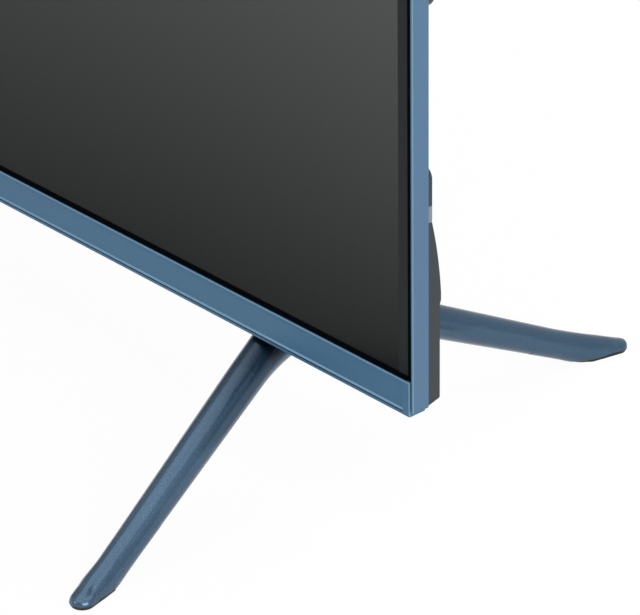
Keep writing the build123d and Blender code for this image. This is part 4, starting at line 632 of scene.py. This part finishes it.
def pads_with_light_foot(settings):
    """Moulding of the edge pads: dark as the cover, and light grey in the foot of the lowest pads.

    Foot is 1 up to the light foot's top, and falls in a straight line to 0 over half a millimetre above it.
    """
    plastic = tuple(settings.plastic)
    material, tree, body, where, shade = moulding("pad_moulding", plastic, 0.48, settings.texture, 0.25)
    foot = ramp(tree, axes(tree, where)[2], settings.light_foot + 0.0005, settings.light_foot)
    dark = swung(tree, shade, plastic, 0.08)
    pale = swung(tree, shade, settings.pad, 0.07)
    tree.links.new(mix_colour(tree, foot, dark, pale), body.inputs["Base Color"])
    return material


class TV_OT_dress_cover(Operator):
    """Rear moulding, pan, pads and the plates at the corners"""
    bl_idname = "tv.dress_cover"
    bl_label = "Dress Rear Cover"

    def execute(self, context):
        settings = context.scene.tv_cover
        dress(
            moulded_plastic(
                "rear_moulding", tuple(settings.plastic), 0.5, settings.texture, 0.35, dust=0.12, swing=0.08),
            "rear_cover", "cover_foot_right", "cover_foot_left", "socket_tray", "mains_tray",
            "cover_shoulder_right", "cover_shoulder_left")
        dress(moulded_plastic("pan_coating", (0.085, 0.088, 0.095), 0.42, 0.0016, 0.12, dust=0.1, swing=0.08),
              "backlight_pan")
        dress(pads_with_light_foot(settings), "edge_pads")
        dress(bare_metal("plated_steel", (0.5, 0.5, 0.5)), "corner_plates", "leg_brackets", "board_screws")
        dress(bare_metal("turned_insert", (0.42, 0.42, 0.43), 0.3), "wall_mount_inserts")
        return {"FINISHED"}


# Legs

LEG_COAT = 0.35
# Height over which the shade under the chin fades at its foot
LEG_SHADE_FADE = 0.012
SOLE_BLACK = (0.004, 0.005, 0.007)


def leg_paint(settings):
    """Blue-grey metallic paint under a clear coat, with flakes that differ in shade and tilt.

    Opened is the share of the sky that a point sees within the reach of its shade. Where that share is
    small, under the chin, the paint takes the shaded colour, a painted shade that also stands for the chin's
    dark reflection, and has no coat, but not on faces that look down nor from the shade's foot down. Below
    the sole's rim it is black rubber.
    """
    paint = tuple(settings.paint)
    material, tree, body, where = new_material(
        "leg_paint", Base_Color=paint, Metallic=0.6, Roughness=0.25,
        Coat_Weight=LEG_COAT, Coat_Roughness=settings.roughness)
    flakes = use_group(tree, "paint_flakes", where, Size=settings.flake)
    sparkling = mix_colour(tree, flakes.outputs["Sparkle"], paint, scaled(paint, 2.2))
    cloud = use_group(tree, "moulded_texture", where, Size=0.02)
    clouded = around(tree, cloud.outputs["Shade"], 0.8, 0.35)
    plain = mix_colour(tree, clouded, scaled(paint, 0.9), sparkling)
    height = axes(tree, where)[2]
    opened = openness(tree, settings.shade_reach, *CHIN_SHADE)
    downward = ramp(tree, surface_axes(tree)[2], 0.12, -0.12)
    low = ramp(tree, height, settings.shade_foot + LEG_SHADE_FADE, settings.shade_foot)
    free = math_node(tree, "MAXIMUM", math_node(tree, "MAXIMUM", opened, downward), low)
    tree.links.new(math_node(tree, "MULTIPLY", free, LEG_COAT), body.inputs["Coat Weight"])
    # Painted shade under the chin, which also stands for the chin's dark reflection.
    painted = mix_colour(tree, free, tuple(settings.shaded), plain)
    rim = math_node(tree, "LESS_THAN", height, settings.rim)
    tree.links.new(mix_colour(tree, rim, painted, SOLE_BLACK), body.inputs["Base Color"])
    add_bump(tree, body, flakes.outputs["Tilt"], 0.06, 0.00006)
    return material


# Made pieces

def add_object(name, data):
    """An object of some data at the origin, linked to the scene."""
    thing = bpy.data.objects.new(name, data)
    bpy.context.scene.collection.objects.link(thing)
    return thing


def add_piece(name, points, faces, material):
    """A mesh piece of the set's body, with its material."""
    mesh = bpy.data.meshes.new(name)
    mesh.from_pydata(points.tolist(), [], faces)
    mesh.materials.append(material)
    piece = add_object(name, mesh)
    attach(piece, "set")
    return piece


def soft_step(value, start, end):
    """Smooth rise from 0 at start to 1 at end: 3 t squared less 2 t cubed, where t is the share passed."""
    share = np.clip((value - start) / (end - start), 0.0, 1.0)
    return share * share * (3.0 - 2.0 * share)


def read_array(items, key, width, kind=float):
    """One property of a mesh's vertices or edges as an array with a row for each."""
    values = np.empty(len(items) * width, dtype=kind)
    items.foreach_get(key, values)
    return values.reshape(-1, width)


def solid_boxes(name):
    """Lowest and highest corner of each separate solid of a CAD node.

    Vertices at one place count as one. Each place starts with its own number, and the lower number of
    an edge's two ends is given to both until none changes, so each solid ends with a number of its own.
    """
    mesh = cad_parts[name].data
    points = read_array(mesh.vertices, "co", 3)
    edges = read_array(mesh.edges, "vertices", 2, np.int64)
    places, place_of = np.unique(np.round(points, 6), axis=0, return_inverse=True)
    start, end = place_of.reshape(-1)[edges].T
    label = np.arange(len(places))
    changed = True
    while changed:
        before = label.copy()
        low = np.minimum(label[start], label[end])
        np.minimum.at(label, start, low)
        np.minimum.at(label, end, low)
        label = label[label]
        changed = not np.array_equal(before, label)
    solids = [places[label == mark] for mark in np.unique(label)]
    return [(solid.min(axis=0), solid.max(axis=0)) for solid in solids]


def head_lines(settings):
    """Places of the lines across a head's face, from -1 to 1, with one pair along each wall of an arm."""
    outer = np.linspace(settings.reach + 0.05, 1.0, settings.lines)
    inner = [0.0, settings.arm * 0.75, settings.arm, settings.reach * 0.6, settings.reach]
    half = np.concatenate([inner, outer])
    return np.concatenate([-half[:0:-1], half])


def screw_points(settings, radius, head_height, shank_radius, length):
    """Points and faces of a crossed screw along the third axis, with the middle of its head at 0.

    A square net of lines is drawn out to a round: a point whose larger share is m moves to the circle by the
    smooth rise of m from the arms' reach to 1. The face falls by the crown times the squared share of the
    radius, and by the recess where a point lies in an arm, which is where its smaller share is under the
    arm's half width and its larger one under the reach. Rings for the side and the shank follow.
    """
    lines = head_lines(settings)
    count = len(lines)
    across, up = [part.ravel() for part in np.meshgrid(lines, lines, indexing="ij")]
    larger = np.maximum(np.abs(across), np.abs(up))
    distance = np.maximum(np.hypot(across, up), 1e-9)
    share = soft_step(larger, settings.reach, 1.0)
    pull = 1.0 - share + share * larger / distance
    x, y = across * pull * radius, up * pull * radius
    smaller = np.minimum(np.abs(across), np.abs(up))
    crossed = (smaller < settings.arm * 0.9) & (larger < settings.reach * 0.99)
    height = -settings.crown * (x * x + y * y) / radius ** 2 - settings.recess * crossed
    points = [np.stack([x, y, height], axis=1)]
    net = np.arange(count * count).reshape(count, count)
    faces = np.stack([net[:-1, :-1], net[1:, :-1], net[1:, 1:], net[:-1, 1:]], axis=-1)
    faces = faces.reshape(-1, 4).tolist()
    rim = np.concatenate([net[:-1, 0], net[-1, :-1], net[:0:-1, -1], net[0, :0:-1]])
    outline = np.stack([x[rim], y[rim]], axis=1) / radius
    total = count * count
    last = rim
    for ring_radius, depth in ((radius, head_height), (shank_radius, head_height), (shank_radius, length)):
        points.append(np.concatenate([outline * ring_radius, np.full((len(rim), 1), -depth)], axis=1))
        ring = total + np.arange(len(rim))
        faces += np.stack([last, ring, np.roll(ring, -1), np.roll(last, -1)], axis=1).tolist()
        total += len(rim)
        last = ring
    faces.append(last[::-1].tolist())
    return np.concatenate(points), faces


def make_screws(name, axis, sign, shank_share, head_height, settings, material):
    """One piece that stands for a CAD node of screws, each crossed.

    The heads face along the axis of that number, forward or backward by the sign. The other two axes are
    taken in the order that keeps the screws from being mirrored. The shank's share is its radius over
    the head's.
    """
    first, second = [index for index in range(3) if index != axis]
    if (sign > 0) == (axis == 1):
        first, second = second, first
    all_points, all_faces, total = [], [], 0
    for low, high in solid_boxes(name):
        middle = (low + high) / 2.0
        radius = float((high[first] - low[first]) / 2.0)
        points, faces = screw_points(
            settings, radius, head_height, radius * shank_share, float(high[axis] - low[axis]))
        placed = np.empty_like(points)
        placed[:, first] = middle[first] + points[:, 0]
        placed[:, second] = middle[second] + points[:, 1]
        placed[:, axis] = (high if sign > 0 else low)[axis] + sign * points[:, 2]
        all_points.append(placed)
        all_faces += [[vertex + total for vertex in face] for face in faces]
        total += len(points)
    screws = add_piece(f"{name}_crossed", np.concatenate(all_points), all_faces, material)
    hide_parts(name)


# CAD node, axis and sign of the way the heads face, shank's radius over the head's, height of the head
SCREWS = (
    ("cover_screws", 1, 1, 2.0 / 4.2, 0.0024),
    ("leg_screws", 2, -1, 2.5 / 4.4, 0.0034),
)


class TV_OT_make_screws(Operator):
    """Crossed screws in the rear moulding and the legs"""
    bl_idname = "tv.make_screws"
    bl_label = "Make Screws"

    def execute(self, context):
        black = bare_metal("black_screw", (0.05, 0.05, 0.052), 0.4)
        for row in SCREWS:
            make_screws(*row, context.scene.tv_screw, black)
        dress(black, "frame_screws")
        return {"FINISHED"}


# Rings along a toe, points round each, and rings that close its nose
TOE_STEPS = 44
TOE_TURNS = 64
NOSE_STEPS = 14
# Ends of a toe's core on the leg's line, its height over the floor, and its fall from there to the nose
CORE_START, CORE_END = -0.04, 0.0095
CORE_HEIGHT = 0.0028
CORE_FALL = (0.0011, -0.006, CORE_END)
# How far a toe lies over the bar
SKIN = 0.00004
# Growth of the half height and the half width, and shift outward, each with where it starts and ends
TALL_GROWTH, TALL_START, TALL_RUN = 0.00285, -0.026, 0.038
WIDE_GROWTH = (0.0009, -0.012, 0.001)
NOSE_GROWTH = (0.0014, 0.003, 0.009)
SHIFT = (0.0002, -0.02, -0.005)
NOSE_SHIFT = 0.0008
# Share by which a toe is stood steeper under the leg's line, and where that starts and ends
STEEPER = (0.3, -0.012, -0.006)
# Radius and middle of the sole's round end, and the height of its top
SOLE_RADIUS, SOLE_MIDDLE, SOLE_TOP = 0.00585, 0.008, 0.00098
# Place behind which the wall opens fast, so that only the bar is left
WALL_START = -0.006
# Radii of the edge round the nose and of the edge over the sole
NOSE_EDGE, SOLE_EDGE = 0.0012, 0.0003


def grown(u, amount, start, end):
    """An amount that comes in by a smooth rise between two places."""
    return amount * soft_step(u, start, end)


def rounded(radius, a, b):
    """Depth inside two faces at once, joined by a round edge.

    It is the edge's radius, less the root of the summed squares of what the depths fall short of it.
    """
    return radius - np.hypot(np.maximum(radius - a, 0.0), np.maximum(radius - b, 0.0))


def toe_depth(u, v, w, settings):
    """How deep points lie inside a toe, in metres: above 0 inside, below 0 outside.

    u runs along the leg's line, level, from where the line meets the floor; v runs outward; w is the height.
    The bar is an ellipse across the line. Its depth is 1 less the root of the summed squares of height over
    half height and side over half width, times the smaller of the halves. Both halves grow towards the
    nose, the middle shifts outward, and heights under the line count for less, so that the sides stand
    steeper over the floor. The wall is a slot's round end: its depth is the radius, which opens towards the
    leg in two straight lines, less the distance from the middle of the slot. Bar, wall and the sole's top
    are joined by round edges.
    """
    lean = cos(settings.slope)
    fall = sin(settings.slope) / lean
    bar = settings.bar_radius - settings.bar_taper * u + SKIN
    tall = bar + TALL_GROWTH * np.clip((u - TALL_START) / TALL_RUN, 0.0, 1.2) ** 1.5
    wide = bar + grown(u, *WIDE_GROWTH) + grown(u, *NOSE_GROWTH)
    side = v - (grown(u, *SHIFT) + NOSE_SHIFT * np.clip(u / SOLE_MIDDLE, 0.0, 1.0) ** 1.5)
    high = (w + u * fall) * lean
    high = np.where(high < 0.0, high * (1.0 - grown(u, *STEEPER)), high)
    bar_depth = (1.0 - np.sqrt((high / tall) ** 2 + (side / wide) ** 2)) * np.minimum(tall, wide)
    wall = SOLE_RADIUS + 0.1 * np.maximum(SOLE_MIDDLE - u, 0.0) + 0.5 * np.maximum(WALL_START - u, 0.0)
    wall_depth = wall - np.hypot(side, np.maximum(u - SOLE_MIDDLE, 0.0))
    return rounded(SOLE_EDGE, rounded(NOSE_EDGE, bar_depth, wall_depth), w - SOLE_TOP)


def toe_points(settings):
    """Rings of points round a toe, from its upper end to its nose, and the point at the nose.

    Each point lies where a ray from the toe's core leaves the toe, found by halving the ray forty times. The
    core follows the leg's line and then runs low to the nose. There the rays turn from across to straight on.
    """
    turns = np.linspace(0.0, 2.0 * pi, TOE_TURNS, endpoint=False)
    fall = sin(settings.slope) / cos(settings.slope)
    u = np.linspace(CORE_START, CORE_END, TOE_STEPS)
    w = np.maximum(-u * fall, CORE_HEIGHT - grown(u, *CORE_FALL))
    tilt = np.concatenate([np.zeros(TOE_STEPS), np.linspace(0.0, pi / 2, NOSE_STEPS + 1)[1:]])
    u, w = [np.concatenate([row, np.full(NOSE_STEPS, row[-1])])[:, None] for row in (u, w)]
    ray_u = np.repeat(np.sin(tilt)[:, None], TOE_TURNS, axis=1)
    ray_v = np.cos(tilt)[:, None] * np.cos(turns)
    ray_w = np.cos(tilt)[:, None] * np.sin(turns)
    near = np.zeros_like(ray_u)
    far = np.full_like(ray_u, 0.02)
    for _ in range(40):
        middle = (near + far) / 2.0
        inside = toe_depth(u + ray_u * middle, ray_v * middle, w + ray_w * middle, settings) > 0.0
        near = np.where(inside, middle, near)
        far = np.where(inside, far, middle)
    rings = np.stack([u + ray_u * near, ray_v * near, w + ray_w * near], axis=-1)
    return rings[:-1], rings[-1, 0]


def ring_faces(ring_count, turn_count, flip):
    """Faces between rings of points, and a fan from the last ring to the point that follows it.

    A face joins two neighbours on a ring to the same two on the next ring. Flip turns every face round.
    """
    here = np.arange(turn_count)
    ahead = (here + 1) % turn_count
    starts = np.arange(ring_count - 1)[:, None] * turn_count
    low = np.stack([starts + here, starts + ahead], axis=-1)
    high = np.stack([starts + ahead, starts + here], axis=-1) + turn_count
    faces = np.concatenate([low, high], axis=-1).reshape(-1, 4).tolist()
    last, tip = (ring_count - 1) * turn_count, ring_count * turn_count
    faces += np.stack([last + here, last + ahead, np.full(turn_count, tip)], axis=1).tolist()
    return [face[::-1] for face in faces] if flip else faces


class TV_OT_make_toes(Operator):
    """Smooth painted toes over the ends of the legs"""
    bl_idname = "tv.make_toes"
    bl_label = "Make Toes"

    def execute(self, context):
        settings = context.scene.tv_leg
        rings, tip = toe_points(settings)
        points = np.concatenate([rings.reshape(-1, 3), tip[None]])
        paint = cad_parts["leg_right"].data.materials[0]
        for side, side_name in ((1, "right"), (-1, "left")):
            for end, end_name in ((-1, "front"), (1, "rear")):
                along = np.array((side * sin(settings.splay), end * cos(settings.splay), 0.0))
                outward = np.array((side * cos(settings.splay), -end * sin(settings.splay), 0.0))
                start = np.array((side * settings.toe_x, end * settings.toe_reach, 0.0))
                placed = start + points[:, :1] * along + points[:, 1:2] * outward
                placed[:, 2] += points[:, 2]
                faces = ring_faces(len(rings), TOE_TURNS, side * end > 0)
                toe = add_piece(f"leg_toe_{side_name}_{end_name}", placed, faces, paint)
                toe.data.polygons.foreach_set("use_smooth", np.ones(len(faces), dtype=bool))
        return {"FINISHED"}


class TV_OT_dress_legs(Operator):
    """Metallic paint on the legs and rubber on their pads"""
    bl_idname = "tv.dress_legs"
    bl_label = "Dress Legs"

    def execute(self, context):
        dress(leg_paint(context.scene.tv_leg), "leg_right", "leg_left")
        dress(moulded_plastic("pad_rubber", (0.012, 0.012, 0.013), 0.75, 0.0005, 0.4),
              "leg_pads", "speaker_grommets")
        return {"FINISHED"}


class TV_OT_dress_inside(Operator):
    """Boards, sockets, speakers, leads, the sensor pod and its key"""
    bl_idname = "tv.dress_inside"
    bl_label = "Dress Boards and Sockets"

    def execute(self, context):
        dress(moulded_plastic("green_board", (0.01, 0.055, 0.022), 0.35, 0.0018, 0.15, swing=0.25),
              "main_board", "source_boards", "tcon_board", "sensor_board")
        dress(moulded_plastic("tan_board", (0.32, 0.21, 0.09), 0.5, 0.0012, 0.15, swing=0.15), "power_board")
        dress(moulded_plastic("component_black", (0.02, 0.02, 0.022), 0.4, 0.0008, 0.2), "power_components")
        dress(bare_metal("sink_aluminium", (0.62, 0.63, 0.64), 0.4), "main_heatsink")
        dress(bare_metal("tin_plate", (0.62, 0.61, 0.58), 0.28),
              "hdmi_sockets", "usb_sockets", "lan_socket", "aerial_socket", "wifi_module")
        dress(bare_metal("turned_brass", (0.65, 0.45, 0.17), 0.3), "board_posts")
        dress(moulded_plastic("socket_black", (0.013, 0.013, 0.014), 0.4, 0.0006, 0.2),
              "audio_jack", "optical_socket", "mains_inlet")
        dress(moulded_plastic("speaker_black", (0.02, 0.02, 0.021), 0.6, 0.001, 0.3),
              "speaker_right", "speaker_left", "speaker_drivers")
        dress(moulded_plastic("amber_film", (0.42, 0.18, 0.02), 0.3, 0.002, 0.05), "column_films")
        dress(moulded_plastic("white_ribbon", (0.7, 0.7, 0.67), 0.4, 0.001, 0.1, swing=0.05),
              "display_cable", "panel_cables")
        dress(moulded_plastic("lead_sleeve", (0.018, 0.018, 0.019), 0.6, 0.0008, 0.5),
              "power_harness", "led_lead", "speaker_leads")
        dress(moulded_plastic("pod_gloss", (0.012, 0.012, 0.014), 0.18, 0.003, 0.03), "sensor_pod")
        dress(moulded_plastic("window_red", (0.03, 0.004, 0.006), 0.1, 0.003, 0.02), "ir_window")
        dress(moulded_plastic("key_satin", (0.16, 0.17, 0.18), 0.3, 0.0008, 0.1), "power_key")
        return {"FINISHED"}


# Stage

WHITE = (1.0, 1.0, 1.0, 1.0)
# Lightness of the floor, how much of it the camera sees as plain white, and half its width
FLOOR_ALBEDO, FLOOR_SHARE, FLOOR_REACH = 0.86, 0.95, 14.0
# How much of the plain white reflections show
MIRRORED_SHARE = 0.4


def shown_share(tree, path, share=1.0):
    """How much of plain white a ray meets: a share for the camera and for glass, and less for reflections."""
    seen = math_node(tree, "MAXIMUM", path.outputs["Is Camera Ray"], path.outputs["Is Transmission Ray"])
    mirrored = math_node(tree, "MULTIPLY", path.outputs["Is Glossy Ray"], share * MIRRORED_SHARE)
    return math_node(tree, "MAXIMUM", math_node(tree, "MULTIPLY", seen, share), mirrored)


def mix_shaders(tree, factor, first, second):
    """Mix of two shader nodes by a factor socket."""
    node = tree.nodes.new("ShaderNodeMixShader")
    for slot, value in zip(node.inputs, (factor, first.outputs[0], second.outputs[0])):
        tree.links.new(value, slot)
    return node


def white_for_eye(name, albedo, share):
    """Matt surface that the camera, reflections and glass see partly as plain white, and that keeps shadows.

    Share is how much of what the camera sees is plain white light of strength 1. From its back the camera
    looks through it.
    """
    material = bpy.data.materials.new(name)
    tree = fresh_tree(material)
    matt = put(tree, "ShaderNodeBsdfDiffuse", Color=(albedo, albedo, albedo, 1.0))
    glow = put(tree, "ShaderNodeEmission", Color=WHITE, Strength=1.0)
    clear = put(tree, "ShaderNodeBsdfTransparent")
    path = tree.nodes.new("ShaderNodeLightPath")
    back = tree.nodes.new("ShaderNodeNewGeometry").outputs["Backfacing"]
    behind = math_node(tree, "MULTIPLY", path.outputs["Is Camera Ray"], back)
    mixed = mix_shaders(tree, shown_share(tree, path, share), matt, glow)
    through = mix_shaders(tree, behind, mixed, clear)
    output = tree.nodes.new("ShaderNodeOutputMaterial")
    tree.links.new(through.outputs[0], output.inputs["Surface"])
    return material


def make_floor():
    """Level square on which the set stands, which belongs to the stage."""
    mesh = bpy.data.meshes.new("studio_floor")
    reach = FLOOR_REACH
    mesh.from_pydata(
        [(-reach, -reach, 0.0), (reach, -reach, 0.0), (reach, reach, 0.0), (-reach, reach, 0.0)],
        [], [(0, 1, 2, 3)])
    mesh.materials.append(white_for_eye("floor_white", FLOOR_ALBEDO, FLOOR_SHARE))
    add_object("studio_floor", mesh)


def make_world(scene, ambient):
    """Even light from all round, which the camera, reflections and glass see as plain white."""
    scene.world = bpy.data.worlds.new("studio_world")
    tree = fresh_tree(scene.world)
    soft = put(tree, "ShaderNodeBackground", Color=WHITE, Strength=ambient)
    white = put(tree, "ShaderNodeBackground", Color=WHITE, Strength=1.0)
    mixed = mix_shaders(tree, shown_share(tree, tree.nodes.new("ShaderNodeLightPath")), soft, white)
    output = tree.nodes.new("ShaderNodeOutputWorld")
    tree.links.new(mixed.outputs[0], output.inputs["Surface"])


def add_area(name, place, target, size, power):
    """Square soft light at a place, turned to face a target."""
    lamp = bpy.data.lights.new(name, "AREA")
    lamp.shape = "SQUARE"
    lamp.size = size
    lamp.energy = power
    thing = add_object(name, lamp)
    thing.location = place
    thing.rotation_euler = (Vector(target) - Vector(place)).to_track_quat("-Z", "Y").to_euler()


def camera_axes(settings):
    """Right, up and forward directions of the camera.

    Forward is (-sin a cos e, cos a cos e, -sin e), level right is (cos a, sin a, 0), and up is right cross
    forward. The roll then turns right and up about forward.
    """
    a, e, roll = settings.azimuth, settings.elevation, settings.roll
    level = Vector((cos(a), sin(a), 0.0))
    forward = Vector((-sin(a) * cos(e), cos(a) * cos(e), -sin(e)))
    upward = level.cross(forward)
    right = level * cos(roll) + upward * sin(roll)
    up = upward * cos(roll) - level * sin(roll)
    return right, up, forward


# A point of the chin's lower corner, where it lies in the picture, and the picture's and the sensor's size
CORNER = Vector((0.612, -0.035, 0.0675))
CORNER_PIXEL = (408.2, 417.7)
PICTURE_PIXELS = (640.0, 615.0)
SENSOR_WIDTH = 36.0


def make_camera(scene, settings):
    """Camera that shows the chin's lower corner at its pixel.

    The corner lies the distance ahead of the camera, and to the right and up by the distance times its
    pixels from the picture's middle over the lens in pixels. The camera's place is the corner less that.
    """
    right, up, forward = camera_axes(settings)
    lens_pixels = settings.lens * PICTURE_PIXELS[0] / SENSOR_WIDTH
    across = (CORNER_PIXEL[0] - PICTURE_PIXELS[0] / 2.0) / lens_pixels
    raised = (PICTURE_PIXELS[1] / 2.0 - CORNER_PIXEL[1]) / lens_pixels
    offset = Vector((across, raised, 1.0)) * settings.distance
    place = CORNER - (right * offset.x + up * offset.y + forward * offset.z)
    data = bpy.data.cameras.new("photo_camera")
    data.sensor_fit = "HORIZONTAL"
    data.sensor_width = SENSOR_WIDTH
    data.lens = settings.lens
    data.clip_start = 0.05
    data.clip_end = 60.0
    camera = add_object("photo_camera", data)
    turn = Matrix((right, up, -forward)).transposed()
    camera.matrix_world = Matrix.Translation(place) @ turn.to_4x4()
    scene.camera = camera


class TV_OT_make_stage(Operator):
    """Pale floor, backdrop light, soft lamps and the camera"""
    bl_idname = "tv.make_stage"
    bl_label = "Make Stage"

    def execute(self, context):
        settings = context.scene.tv_stage
        make_floor()
        make_world(context.scene, settings.ambient)
        add_area("front_light", (-0.8, -3.2, 2.2), (0.0, 0.0, 0.4), 2.4, settings.front)
        add_area("side_light", (3.0, -0.6, 1.5), (0.3, 0.0, 0.3), 1.8, settings.side)
        add_area("top_light", (0.2, 0.6, 3.0), (0.0, 0.0, 0.3), 4.0, settings.top)
        make_camera(context.scene, settings)
        context.scene.view_settings.view_transform = "Standard"
        return {"FINISHED"}


# Panel and registration

class TV_PT_panel(Panel):
    """Sidebar panel that lists the steps"""
    bl_idname = "TV_PT_panel"
    bl_label = "Flat Screen Television"
    bl_space_type = "VIEW_3D"
    bl_region_type = "UI"
    bl_category = "Television"

    def draw(self, context):
        for step in STEPS:
            self.layout.operator(step.bl_idname)
        for name in SETTINGS:
            box = self.layout.box()
            group = getattr(context.scene, name)
            for prop in group.bl_rna.properties:
                if prop.identifier not in ("rna_type", "name"):
                    box.prop(group, prop.identifier)


STEPS = (
    TV_OT_dress_frame,
    TV_OT_dress_screen,
    TV_OT_dress_cover,
    TV_OT_dress_legs,
    TV_OT_make_toes,
    TV_OT_dress_inside,
    TV_OT_make_screws,
    TV_OT_make_stage,
)


def register():
    """Registers the settings, the operators and the panel."""
    for name, group in SETTINGS.items():
        bpy.utils.register_class(group)
        setattr(bpy.types.Scene, name, PointerProperty(type=group))
    for item in (*STEPS, TV_PT_panel):
        bpy.utils.register_class(item)


def unregister():
    """Takes away what register added."""
    for item in reversed((*STEPS, TV_PT_panel)):
        bpy.utils.unregister_class(item)
    for name, group in reversed(list(SETTINGS.items())):
        delattr(bpy.types.Scene, name)
        bpy.utils.unregister_class(group)


def main():
    """Makes everything in order."""
    register()
    for step in STEPS:
        area, call = step.bl_idname.split(".")
        getattr(getattr(bpy.ops, area), call)()


if __name__ == "__main__":
    main()
